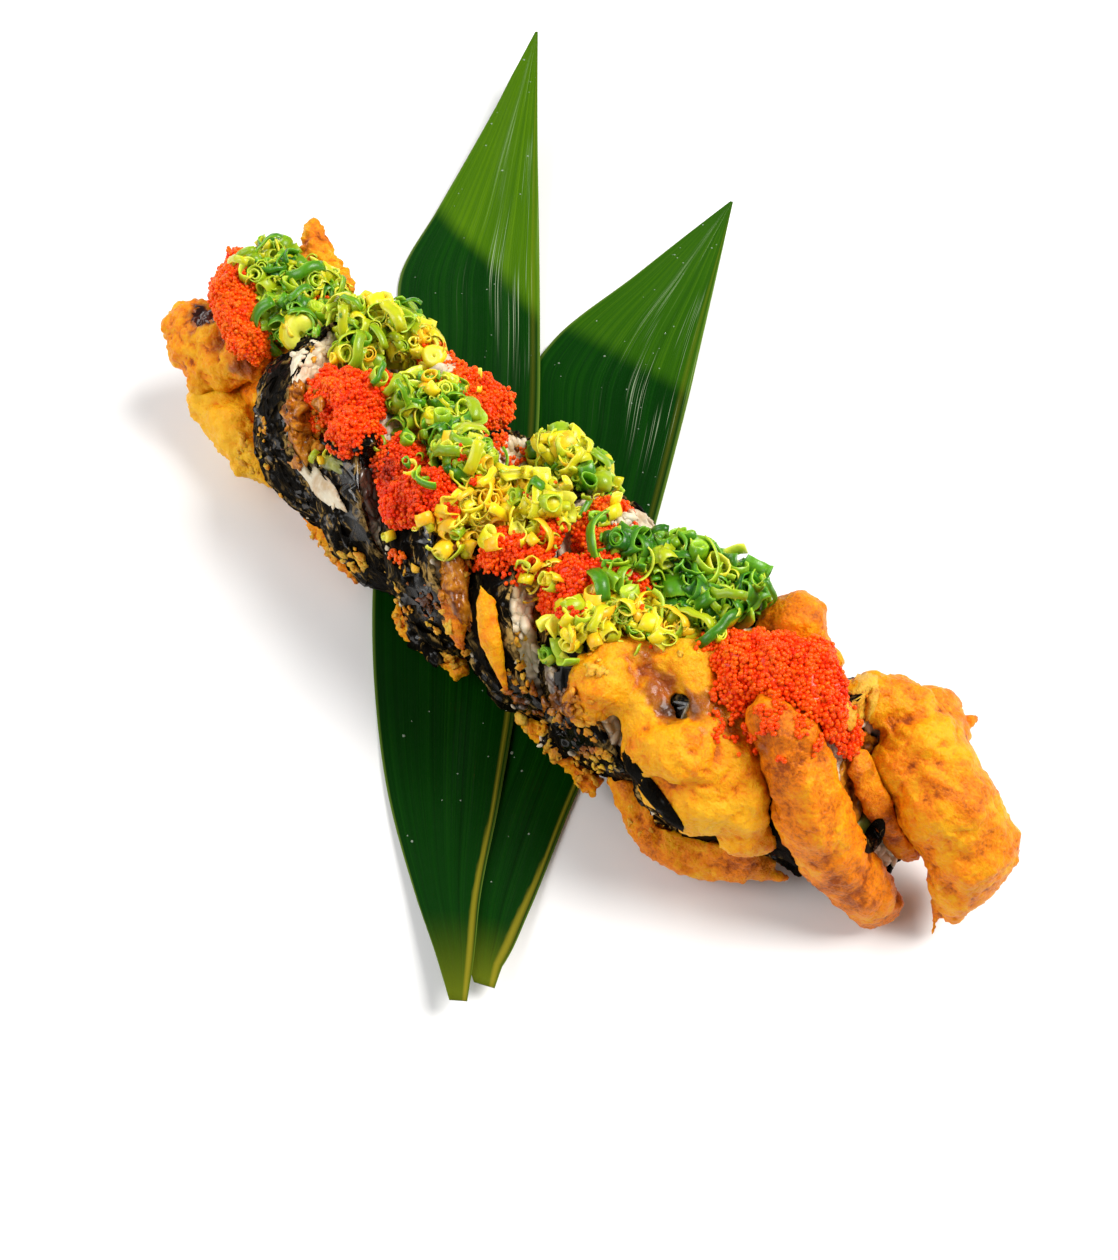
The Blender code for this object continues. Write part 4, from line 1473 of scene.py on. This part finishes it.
class ScallionShapes:
    """The small shapes that a heap is made of, each about 1 unit in radius."""

    DRIFTS = (0.3, 31.7, 77.9)  # shifts that give three separate noises for one bend

    def __init__(self) -> None:
        """Make every shape once."""
        self.meshes = {
            Cut.RING: [self.swept("ring", 1.0, inner, half, 360.0, 12, number)
                       for number, (inner, half) in enumerate(((0.76, 0.60), (0.72, 0.42),
                                                               (0.78, 0.85), (0.66, 0.50)))],
            Cut.NEST: [self.nest(5), self.nest(6)],
            Cut.CURL: [self.swept("curl", 1.0, inner, half, sweep, 9, number)
                       for number, (inner, half, sweep) in enumerate(
                           ((0.78, 0.50, 285.0), (0.76, 0.60, 215.0), (0.80, 0.40, 160.0)), 7)],
            Cut.STRAND: [self.swept("strand", 1.9, 1.68, 0.28, 130.0, 10, 11),
                         self.swept("strand", 2.4, 2.16, 0.24, 95.0, 9, 12),
                         self.swept("strand", 1.5, 1.28, 0.30, 150.0, 10, 16)],
            Cut.CHIP: [self.swept("chip", 1.0, 0.72, 0.55, 75.0, 4, 13),
                       self.swept("chip", 0.9, 0.60, 0.40, 110.0, 5, 14)],
            Cut.DISC: [self.swept("disc", 1.0, 0.015, 0.30, 360.0, 14, 15)],
        }

    def section(self, bm: bmesh.types.BMesh, outer: float, inner: float, half: float) -> list:
        """Closed outline of the wall, rounded, in the XZ plane.

        Args:
            bm: Where it goes.
            outer: Outer radius.
            inner: Inner radius.
            half: Half height.

        Returns:
            Its edges.
        """
        middle, width = (outer + inner) / 2, (outer - inner) / 2
        made = bmesh.ops.create_circle(bm, segments=6, radius=1.0)
        for vert in made["verts"]:
            across, height = vert.co.y, vert.co.x
            tall = half * (1.0 if abs(height) > 0.9 else 1.5 * height)
            vert.co = Vector((middle + width * across * 1.1, 0.0, math.copysign(tall, height)))
        return list(dict.fromkeys(edge for vert in made["verts"] for edge in vert.link_edges))

    def wall(self, bm: bmesh.types.BMesh, outer: float, inner: float, half: float, sweep: float,
             steps: int) -> None:
        """Turn the wall's outline about Z.

        Args:
            bm: Where it goes.
            outer: Outer radius.
            inner: Inner radius.
            half: Half height.
            sweep: Angle in degrees; 360 closes the ring.
            steps: Segments.
        """
        edges = self.section(bm, outer, inner, half)
        geom = edges + list(dict.fromkeys(vert for edge in edges for vert in edge.verts))
        bmesh.ops.spin(bm, geom=geom, cent=(0, 0, 0), axis=(0, 0, 1), angle=math.radians(sweep),
                       steps=steps, use_merge=sweep >= 360.0)

    def swept(self, name: str, outer: float, inner: float, half: float, sweep: float,
              steps: int, number: int = 0) -> bpy.types.Mesh:
        """One bent piece of wall with closed ends.

        Args:
            name: Name of the shape.
            outer: Outer radius.
            inner: Inner radius.
            half: Half height.
            sweep: Angle in degrees; 360 closes the ring.
            steps: Segments.
            number: Sets how the shape is bent.

        Returns:
            The shape's mesh.
        """
        bm = bmesh.new()
        self.wall(bm, outer, inner, half, sweep, steps)
        if sweep < 360.0:
            rims = [edge for edge in bm.edges if edge.is_boundary]
            bmesh.ops.holes_fill(bm, edges=rims, sides=0)
        skins = self.bend(bm, (outer + inner) / 2, (outer - inner) / 2, number)
        return shape_mesh(name, bm, skins)

    def bend(self, bm: bmesh.types.BMesh, middle: float, width: float, number: int) -> list[float]:
        """Push a shape out of its true round.

        Args:
            bm: The shape.
            middle: Middle radius of its wall.
            width: Half thickness of its wall.
            number: Sets how it is bent.

        Returns:
            For every vertex 1 on the outer skin and 0 on a cut side.
        """
        skins = []
        for vert in bm.verts:
            radius = math.hypot(vert.co.x, vert.co.y)
            skins.append(min(1.0, max(0.0, (radius - middle) / width)))
            start = Vector((vert.co.x, vert.co.y, 0)) * 0.8 + Vector((0, 0, number * 3.7))
            drift = [noise.noise(start + Vector((shift, 0, 0))) for shift in self.DRIFTS]
            vert.co += Vector((drift[0] * 0.26, drift[1] * 0.26, drift[2] * 0.34))
        return skins

    def lay(self, heap: Scatter, spot: Vector, normal: Vector, size: float,
            tint: tuple[float, float], rng: np.random.Generator) -> None:
        """Lay one piece at random, any way up.

        Args:
            heap: Where it is laid.
            spot: Place on the surface.
            normal: Surface direction there.
            size: Usual radius in millimetres.
            tint: Tone of the heap and how much its pieces differ.
            rng: Seeded random numbers.
        """
        cut = MIXED_CUTS[rng.integers(len(MIXED_CUTS))]
        kinds = self.meshes[cut]
        largest = 1.0 if cut is Cut.CHIP else 1.3 if cut in (Cut.RING, Cut.NEST) else 1.6
        squeeze = Matrix.Diagonal((1.0, rng.uniform(0.55, 1.0), rng.uniform(0.8, 1.35), 1.0))
        place = (Matrix.Translation(spot + normal * rng.uniform(-0.5, 0.8) * MM)
                 @ upright(normal, rng.uniform(0, 6.28)) @ Matrix.Rotation(rng.normal(0, 0.8), 4, "X")
                 @ Matrix.Scale(size * min(largest, rng.lognormal(0.0, 0.34)) * MM, 4) @ squeeze)
        tone = tint[0] + rng.normal(0.0, tint[1])
        heap.add(kinds[rng.integers(len(kinds))], place, min(1.0, max(0.0, tone)))

    def nest(self, number: int) -> bpy.types.Mesh:
        """Two rings, one inside the other."""
        bm = bmesh.new()
        for outer, inner in ((1.0, 0.82), (0.64, 0.42)):
            self.wall(bm, outer, inner, 0.50, 360.0, 10)
        return shape_mesh("nest", bm, self.bend(bm, 0.85, 0.15, number))


MIXED_CUTS = (Cut.RING, Cut.RING, Cut.NEST, Cut.CURL, Cut.CURL, Cut.CURL, Cut.STRAND, Cut.STRAND,
              Cut.STRAND, Cut.CHIP)


@dataclass
class ScallionHeap:
    """One heap: its node, how yellow it is and how much that varies, radius of its pieces in mm."""

    node: str
    tone: float
    spread: float = 0.22
    size: float = 2.2
    gap: float = 0.74

    def build(self, finish: bpy.types.Material, shapes: ScallionShapes,
              rng: np.random.Generator) -> None:
        """Cut pieces over a smaller core.

        Args:
            finish: The scallion's material.
            shapes: The small shapes.
            rng: Seeded random numbers.
        """
        core = as_object(f"{self.node}_core", merged(self.node))
        remesh(core, 0.9 * MM, 6)
        surface = core.data.copy()
        relief(core.data, lambda p: (noise.noise(p * 420) * 0.9 - 1.1) * MM)
        heap = Scatter(f"{self.node}_cuts")
        for spot, normal in even_points(surface, self.size * self.gap * MM, rng,
                                        lambda n: n[:, 2] > -0.25):
            tone = self.tone + 0.42 * noise.noise(spot * 110)
            shapes.lay(heap, spot, normal, self.size, (tone, self.spread), rng)
        laid = heap.build()
        set_number(core.data, "tone", np.full(len(core.data.vertices), max(0.05, self.tone - 0.06)))
        set_number(core.data, "skin", np.ones(len(core.data.vertices)))
        dress(core, finish, "scallion", [self.node])
        dress(laid, finish, "scallion")


@dataclass
class Scallion:
    """Every heap of scallion."""

    heaps: list[ScallionHeap] = field(default_factory=lambda: [
        ScallionHeap("scallion_first", 0.40, 0.20, 2.2),
        ScallionHeap("scallion_second", 0.62, 0.14, 2.3),
        ScallionHeap("scallion_third", 0.46, 0.16, 2.1),
        ScallionHeap("scallion_fourth", 0.78, 0.10, 2.2),
        ScallionHeap("scallion_far", 0.56, 0.16, 2.1),
        ScallionHeap("scallion_fifth", 0.74, 0.12, 2.4),
        ScallionHeap("scallion_last", 0.24, 0.20, 2.4)])
    loose: list[Patch] = field(default_factory=lambda: [
        Patch(298, 297, 42, 46, 34, 1.9, 0.42), Patch(382, 345, 48, 38, 34, 1.8, 0.70),
        Patch(427, 437, 54, 54, 48, 1.7, 0.50), Patch(475, 525, 56, 34, 44, 1.8, 0.82),
        Patch(562, 500, 56, 58, 54, 1.7, 0.58), Patch(620, 620, 60, 22, 36, 1.8, 0.80),
        Patch(680, 592, 80, 52, 50, 2.3, 0.26), Patch(470, 300, 34, 14, 8, 1.4, 0.95),
        Patch(450, 380, 30, 24, 12, 1.5, 0.92), Patch(545, 570, 22, 20, 16, 1.6, 0.94),
        Patch(672, 632, 26, 12, 16, 1.6, 0.95), Patch(430, 385, 16, 10, 8, 1.5, 0.97),
        Patch(392, 534, 5, 4, 3, 1.7, 0.6), Patch(552, 652, 5, 5, 4, 1.6, 0.22),
        Patch(330, 455, 8, 10, 3, 1.4, 0.6), Patch(540, 470, 40, 30, 14, 1.5, 0.70)])
    discs: tuple[Patch, ...] = (Patch(303, 332, 0, 0, 1, 6.0, 0.72), Patch(436, 358, 0, 0, 1, 3.2, 0.80))
    disc_lift: float = 2.2

    def build(self, ground: Ground) -> None:
        """Build and dress every heap, then strew loose cuts over and between them."""
        finish, shapes = ScallionFinish().make(), ScallionShapes()
        rng = np.random.default_rng(SEED + 2)
        for heap in self.heaps:
            heap.build(finish, shapes, rng)
        loose = Scatter("scallion_loose")
        for patch in self.loose:
            for spot, normal in patch.spots(ground, rng):
                raised = spot + normal * rng.uniform(0.3, 1.7) * MM
                shapes.lay(loose, raised, normal, patch.size, (patch.tone, 0.20), rng)
        for disc in self.discs:
            found = ground.seen(disc.x, disc.y)
            if found:
                facing = (found[1] + (VIEW.place - found[0]).normalized()).normalized()
                place = (Matrix.Translation(found[0] + facing * self.disc_lift * MM)
                         @ upright(facing, disc.x) @ Matrix.Scale(disc.size * MM, 4))
                loose.add(shapes.meshes[Cut.DISC][0], place, disc.tone)
        dress(loose.build(), finish, "scallion")


# ---------------------------------------------------------------- leaf blades


@dataclass
class LeafBlade:
    """A pointed blade, in millimetres: base and tip, stations (distance, left, right), whether it
    lies over the other, where it is flat, and how high its two ends rise over which run."""

    name: str
    base: tuple[float, float]
    tip: tuple[float, float]
    stations: list[tuple[float, float, float]]
    over: bool
    thickness: float = 0.5
    gap: float = 0.45
    flat: tuple[float, float] = (-46.0, 66.0)
    rises: tuple[float, float] = (7.0, 14.0)
    runs: tuple[float, float] = (40.0, 134.0)
    rows: int = 150
    columns: int = 40

    def lift(self, place: Vector) -> float:
        """Height that both blades share at one place of the row."""
        front = max(0.0, self.flat[0] * MM - place.y) / (self.runs[0] * MM)
        back = max(0.0, place.y - self.flat[1] * MM) / (self.runs[1] * MM)
        rise = self.rises[0] * MM * front ** 1.7 + self.rises[1] * MM * back ** 1.5
        return rise * (1 + 0.14 * math.sin(place.x / (17 * MM) + place.y / (29 * MM)))

    def widths(self, distance: float) -> tuple[float, float]:
        """Distance of both edges from the base-to-tip line, rounded between stations."""
        steps = [station[0] for station in self.stations]
        index = min(len(steps) - 2, max(0, int(np.searchsorted(steps, distance)) - 1))
        span = steps[index + 1] - steps[index]
        t = (distance - steps[index]) / span
        found = []
        for side in (1, 2):
            values = [station[side] for station in self.stations]
            slopes = np.gradient(values, steps)
            a, b = values[index], values[index + 1]
            bend = (2 * t ** 3 - 3 * t ** 2 + 1, t ** 3 - 2 * t ** 2 + t, 3 * t ** 2 - 2 * t ** 3,
                    t ** 3 - t ** 2)
            found.append(bend[0] * a + bend[1] * span * slopes[index] + bend[2] * b
                         + bend[3] * span * slopes[index + 1])
        return max(0.3, found[0]), max(0.3, found[1])

    def place(self, share: float, length: float) -> Vector:
        """Point of the underside: share across and length along, both 0 to 1."""
        base = Vector((*self.base, 0.0)) * MM
        along = (Vector((*self.tip, 0.0)) * MM - base).normalized()
        across = Vector((-along.y, along.x, 0.0))
        far = self.stations[-1][0]
        distance = length * far
        left, right = self.widths(distance)
        offset = left + share * (-right - left)
        point = base + along * distance * MM + across * offset * MM
        point.z = self.lift(point)
        if self.over:
            from_right = (offset + right) * MM
            overlap = min(1.0, max(0.0, (16 * MM - from_right) / (8 * MM)))
            point.z += (self.thickness + self.gap) * MM * overlap * overlap * (3 - 2 * overlap)
        return point + ROW_SHIFT

    def marks(self, share: float, length: float, spot: Vector) -> dict[str, float]:
        """What the leaf's finish reads at one place.

        Args:
            share: How far across, from 0 at the left edge to 1 at the right.
            length: How far along, from 0 at the base to 1 at the tip.
            spot: The place in millimetres.

        Returns:
            The rib, the rim, the stalk end, the line between painted shade and painted light, and the side.
        """
        near = max(0.0, 1 - length / 0.16) ** 2
        rib = max(0.0, 1 - (abs(share - 0.955 + 0.13 * near) / (0.020 + 0.11 * near)) ** 2)
        return {"rib": rib * max(0.25, min(1.0, (0.42 - length) / 0.2)),
                "rim": max(0.0, 1 - min(share, 1 - share) / 0.012),
                "stalk": max(0.0, 1 - length / 0.06) ** 1.5,
                # far sets where painted shade gives way to painted light, tilted on the upper blade.
                "far": spot.y + (0.25 * (spot.x + 70) if self.over else 0.0),
                "side": share}

    def build(self, finish: bpy.types.Material) -> None:
        """Build and dress the blade."""
        bm = bmesh.new()
        bmesh.ops.create_grid(bm, x_segments=self.columns, y_segments=self.rows, size=0.5)
        uv = bm.loops.layers.uv.new("blade")
        for face in bm.faces:
            for loop in face.loops:
                loop[uv].uv = (loop.vert.co.x + 0.5, loop.vert.co.y + 0.5)
        marks = []
        for vert in bm.verts:
            share, length = vert.co.x + 0.5, vert.co.y + 0.5
            vert.co = self.place(share, length)
            marks.append(self.marks(share, length, vert.co / MM))
        obj = as_object(f"{self.name}_blade", bm)
        for name in marks[0]:
            set_number(obj.data, name, np.array([mark[name] for mark in marks]))
        thicken(obj, self.thickness * MM, 1.0)
        dress(obj, finish, "leaf", [self.name])


@dataclass
class Leaves:
    """Both blades, and the stretches along them with the water drops that each carries."""

    blades: list[LeafBlade] = field(default_factory=lambda: [
        LeafBlade("leaf_left", (54.5, -87), (-180.5, 200),
                  [(0, 1.7, 2.3), (10, 5.6, 2.8), (26, 12.5, 3.0), (53, 22.5, 5.9), (85, 30, 8.6),
                   (113, 34, 9.2), (150, 36, 9.6), (191, 38, 9.5), (221, 39, 8.2), (248, 41, 6.8),
                   (280, 31, 5), (309, 21.2, 3.3), (345, 9, 1.6), (371, 0.5, 0.5)], True),
        LeafBlade("leaf_right", (58, -79), (-65.5, 173.5),
                  [(0, 4.6, -1.2), (8, 10.5, 0.9), (20, 17, 2.2), (47, 22, 4.4), (61, 22, 5.7),
                   (80, 23, 5.8), (110, 27.5, 5.6), (144, 35.5, 5.1), (175, 42, 4.5),
                   (198, 47, 3.9), (210, 44, 3.4), (245, 23.5, 2), (281, 0.5, 0.5)], False)])
    drops: tuple[tuple[float, float, int], ...] = ((0.08, 0.30, 12), (0.50, 0.96, 34))

    def build(self) -> None:
        """Build and dress both, and scatter water drops on them."""
        finishes = (LeafFinish(),
                    LeafFinish("leaf_right", (0.009, 0.050, 0.0005), (0.021, 0.088, 0.001),
                               (0.060, 0.155, 0.003)))
        for blade, finish in zip(self.blades, finishes):
            blade.build(finish.make())
        self.build_drops(np.random.default_rng(SEED + 4))

    def build_drops(self, rng: np.random.Generator) -> None:
        """A few water drops near the base and more of them beyond the row."""
        bm = bmesh.new()
        bmesh.ops.create_uvsphere(bm, u_segments=10, v_segments=6, radius=MM)
        bmesh.ops.scale(bm, vec=(1.0, 1.0, 0.55), verts=bm.verts[:])
        shape = shape_mesh("water_drop", bm)
        water = Scatter("water_drops")
        for blade in self.blades:
            for low, high, count in self.drops:
                for _ in range(count):
                    share = rng.uniform(0.08, 0.94)
                    spot = blade.place(share, rng.uniform(low, high))
                    spot.z += blade.thickness * MM
                    water.add(shape, Matrix.Translation(spot)
                              @ Matrix.Scale(min(0.7, rng.lognormal(-1.35, 0.4)), 4), 0.5)
        dress(water.build(), WaterFinish().make(), "leaf")


# ---------------------------------------------------------------- loose bits


@dataclass(frozen=True)
class Drape:
    """A torn patch draped over what lies under it: what it is, frame position, half sizes, turn."""

    kind: str
    x: float
    y: float
    wide: float
    tall: float
    turn: float = 0.0
    ragged: float = 0.5
    lumps: float = 2.2

    CELLS = 30
    FURTHEST = 16 * MM  # how far over a step the patch may reach
    WALL = 0.3 * MM

    def build(self, number: int, ground: Ground) -> bpy.types.Object | None:
        """Make it.

        Args:
            number: Number for its name.
            ground: The row's surface.

        Returns:
            The patch, or None if nothing carries it.
        """
        middle = ground.seen(self.x, self.y)
        if middle is None:
            return None
        bm = bmesh.new()
        bmesh.ops.create_grid(bm, x_segments=self.CELLS, y_segments=self.CELLS, size=1.0)
        missed = []
        for vert in bm.verts:
            u, v = vert.co.x, vert.co.y
            disc = Vector((u * math.sqrt(1 - v * v / 2), v * math.sqrt(1 - u * u / 2), 0.0))
            ripple = noise.fractal(disc * 1.6 + Vector((0, 0, number * 5.0)), 0.8, 2.0, 3)
            out = 1 + self.ragged * ripple
            across, down = disc.x * self.wide * out, disc.y * self.tall * out
            found = ground.seen(self.x + across * math.cos(self.turn) - down * math.sin(self.turn),
                                self.y + across * math.sin(self.turn) + down * math.cos(self.turn))
            if found is None or (found[0] - middle[0]).length > self.FURTHEST:
                missed.append(vert)
                continue
            rim = 1 - disc.length ** 4
            lump = 0.35 + abs(noise.noise(found[0] * 330)) * self.lumps
            vert.co = found[0] + middle[1] * (lump * rim + 0.25 * (rim - 0.4)) * MM
        bmesh.ops.delete(bm, geom=missed, context="VERTS")
        soften(bm)
        bmesh.ops.recalc_face_normals(bm, faces=bm.faces[:])
        obj = as_object(f"{self.kind}_patch_{number}", bm)
        thicken(obj, self.WALL, 0.0)
        set_vectors(obj.data, "band", vertex_data(obj.data)[0])
        set_number(obj.data, "edge", np.zeros(len(obj.data.vertices)))
        set_number(obj.data, "crease", crease_of(obj.data, 0.7 * MM, 6))
        return obj


@dataclass
class Bits:
    """Loose crumbs, shreds of crab, grains of rice and torn nori on the row and along its foot."""

    crumbs: list[Patch] = field(default_factory=lambda: [
        Patch(255, 445, 20, 30, 34), Patch(275, 520, 18, 34, 46), Patch(300, 552, 34, 22, 56, 1.1),
        Patch(345, 560, 22, 14, 34, 1.1), Patch(425, 622, 26, 26, 40), Patch(455, 660, 16, 18, 16, 0.9),
        Patch(560, 722, 40, 34, 80, 1.1), Patch(585, 765, 32, 24, 60, 1.1),
        Patch(640, 820, 26, 16, 12, 0.8), Patch(400, 590, 26, 30, 16, 0.8),
        Patch(460, 560, 20, 20, 14, 0.8), Patch(530, 640, 20, 24, 18, 0.8),
        Patch(680, 640, 50, 16, 20, 0.9), Patch(330, 350, 30, 20, 14, 0.9),
        Patch(520, 680, 18, 24, 20, 1.2), Patch(400, 330, 60, 30, 12, 0.8),
        Patch(600, 660, 20, 14, 12, 0.9)])
    shreds: list[Patch] = field(default_factory=lambda: [
        Patch(306, 412, 20, 34, 22, 1.3), Patch(300, 452, 14, 18, 8, 1.2),
        Patch(455, 582, 15, 40, 16, 1.1), Patch(520, 460, 26, 18, 8, 1.2),
        Patch(560, 700, 18, 16, 12, 1.3), Patch(330, 440, 12, 16, 8, 1.2)])
    grains: list[Patch] = field(default_factory=lambda: [
        Patch(301, 360, 8, 9, 4, 0.8), Patch(338, 502, 5, 5, 2, 0.6), Patch(528, 638, 9, 24, 6, 0.8),
        Patch(443, 366, 12, 14, 8, 0.8), Patch(640, 520, 26, 8, 14, 0.8), Patch(553, 683, 6, 15, 5, 0.7),
        Patch(612, 520, 14, 8, 8, 0.8), Patch(560, 745, 22, 14, 6, 0.6), Patch(415, 640, 14, 10, 4, 0.6),
        Patch(520, 705, 10, 10, 4, 0.6)])
    drapes: list[Drape] = field(default_factory=lambda: [
        Drape("nori", 874, 836, 9, 19, 0.45, 0.05, 0.05), Drape("nori", 372, 452, 22, 14, 0.8),
        Drape("nori", 425, 640, 15, 24, -0.6), Drape("nori", 560, 742, 22, 14, 0.7),
        Drape("nori", 300, 530, 12, 26, -0.5), Drape("nori", 650, 790, 8, 56, -0.66, 0.10, 0.8),
        Drape("batter", 861, 700, 16, 28, 0.3, 0.3, 1.6),
        Drape("filling", 303, 414, 21, 38, -0.15, 0.5, 3.4),
        # The nori patch at 327, 448 is a dark sheet over the avocado patch below it, standing for the shade
        # of a hollow: painted shade.
        Drape("filling", 298, 452, 14, 15, 0.0, 0.5, 2.6), Drape("nori", 327, 448, 14, 8, 0.4),
        Drape("avocado", 331, 463, 15, 8, 0.5, 0.3, 0.9),
        Drape("filling", 455, 584, 14, 42, -0.25, 0.4, 2.2),
        Drape("filling", 562, 702, 14, 12, 0.6, 0.6, 2.2), Drape("rice", 301, 368, 10, 18, 0.2, 0.25, 0.9),
        Drape("rice", 320, 484, 33, 10, 0.85, 0.25, 0.8), Drape("rice", 528, 638, 7, 27, -0.3, 0.5, 1.0),
        Drape("rice", 553, 683, 5, 17, -0.3, 0.5, 0.9), Drape("rice", 443, 366, 11, 13, 0.3, 0.4, 1.4),
        Drape("rice", 640, 520, 26, 7, 0.5, 0.4, 1.4)])

    def crumb_shapes(self) -> list[bpy.types.Mesh]:
        """A few craggy bits of crust."""
        made = []
        for index in range(6):
            bm = bmesh.new()
            bmesh.ops.create_icosphere(bm, subdivisions=2, radius=1.0 * MM)
            for vert in bm.verts:
                vert.co *= 1 + 0.9 * noise.noise(vert.co * 1100 + Vector((index * 7.0, 0, 0)))
            bmesh.ops.scale(bm, vec=(1.0, 0.75, 0.55), verts=bm.verts[:])
            made.append(shape_mesh(f"crumb_{index}", bm))
        return made

    def strew(self, name: str, patches: list[Patch], shapes: list[bpy.types.Mesh], ground: Ground,
              rng: np.random.Generator, sunk: float) -> bpy.types.Object:
        """Lay many small things on what carries them.

        Args:
            name: Name of the joined piece.
            patches: Where they lie.
            shapes: Their shapes.
            ground: The row's surface.
            rng: Seeded random numbers.
            sunk: Height of their middles over the surface, in millimetres.

        Returns:
            The joined piece.
        """
        laid = Scatter(name)
        for patch in patches:
            for spot, normal in patch.spots(ground, rng):
                size = patch.size * min(1.8, rng.lognormal(-0.35, 0.45))
                tilt = Matrix.Rotation(rng.normal(0, 0.4), 4, "X")
                place = (Matrix.Translation(spot + normal * sunk * MM * size)
                         @ upright(normal, rng.uniform(0, 6.28)) @ tilt @ Matrix.Scale(size, 4))
                laid.add(shapes[rng.integers(len(shapes))], place, rng.random())
        obj = laid.build()
        set_number(obj.data, "crease", np.zeros(len(obj.data.vertices)))
        return obj

    def build(self, ground: Ground, sauce: Sauce) -> None:
        """Build and dress every kind.

        Args:
            ground: The row's surface.
            sauce: Stains them.
        """
        rng = np.random.default_rng(SEED + 3)
        shapes = self.crumb_shapes()
        crumb = BatterFinish("crumbs", (0.86, 0.47, 0.050), (0.72, 0.27, 0.015), (0.30, 0.075, 0.004), 0.35)
        finishes = {"nori": NoriFinish("nori_scraps").make(), "rice": RiceFinish("loose_rice").make(),
                    "filling": FillingFinish("loose_crab").make(),
                    "avocado": AvocadoFinish("loose_avocado").make(), "batter": crumb.make()}
        pieces = [(self.strew("loose_crumbs", self.crumbs, shapes, ground, rng, 0.15), "batter"),
                  (self.strew("loose_crab", self.shreds, shapes, ground, rng, 0.6), "filling"),
                  (self.strew("loose_rice", self.grains, [rice_grain()], ground, rng, 0.8), "rice")]
        for number, drape in enumerate(self.drapes, start=1):
            obj = drape.build(number, ground)
            if obj:
                pieces.append((obj, drape.kind))
        for obj, kind in pieces:
            sauce.stain(obj.data)
            dress(obj, finishes[kind], kind)


# ---------------------------------------------------------------- studio


@dataclass(frozen=True)
class Lamp:
    """A soft square light: where it hangs and its side in metres, watts, and colour."""

    name: str
    place: tuple[float, float, float]
    side: float
    power: float
    tint: Colour = (1.0, 1.0, 1.0)

    def hang(self, target: Vector) -> None:
        """Make it, aimed at the target."""
        data = bpy.data.lights.new(self.name, "AREA")
        data.shape = "SQUARE"
        data.size = self.side
        data.energy = self.power
        data.color = self.tint
        turn = (target - Vector(self.place)).to_track_quat("-Z", "Y").to_matrix().to_4x4()
        link(self.name, data, Matrix.Translation(self.place) @ turn)


@dataclass
class Studio:
    """Pale floor, soft lights and the camera, in metres."""

    floor_side: float = 6.0
    floor_drop: float = 0.0004
    target: tuple[float, float, float] = (0.0, -0.05, 0.02)
    daylight: float = 0.20
    lamps: tuple[Lamp, ...] = (Lamp("key", (0.50, 0.50, 1.0), 0.62, 20.0, (1.0, 0.98, 0.95)),
                               Lamp("front", (-0.45, -0.80, 0.75), 0.7, 8.0),
                               Lamp("side", (-0.95, 0.1, 0.5), 0.5, 3.0))

    def build(self) -> None:
        """Set everything up."""
        bm = bmesh.new()
        bmesh.ops.create_grid(bm, x_segments=8, y_segments=8, size=self.floor_side / 2)
        floor = as_object("studio_floor", bm)
        floor.data.transform(Matrix.Translation((0, 0, -self.floor_drop)))
        floor.data.materials.append(FloorFinish().make())
        floor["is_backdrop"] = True
        for lamp in self.lamps:
            lamp.hang(Vector(self.target))
        world = bpy.data.worlds.new("studio")
        world.use_nodes = True
        background = world.node_tree.nodes["Background"]
        background.inputs["Color"].default_value = (1, 1, 1, 1)
        background.inputs["Strength"].default_value = self.daylight
        bpy.context.scene.world = world
        bpy.context.scene.view_settings.view_transform = "Standard"
        VIEW.set_up()


# ---------------------------------------------------------------- assembly


def corners(box: tuple[Vector, Vector]) -> list[list[float]]:
    """A box as plain lists."""
    return [list(corner) for corner in box]


def main() -> None:
    """Build every part of the serving in order."""
    logging.basicConfig(level=logging.INFO, format="%(message)s")
    ground = Ground()
    sauce = Sauce(ground)
    Leaves().build()
    RollRow().build(sauce)
    FriedCrab().build(sauce)
    Roe().build(sauce, ground)
    Scallion().build(ground)
    Bits().build(ground, sauce)
    Studio().build()
    {"cad": corners(CAD_BOX), "visual": corners(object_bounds())}


if __name__ == "__main__":
    main()
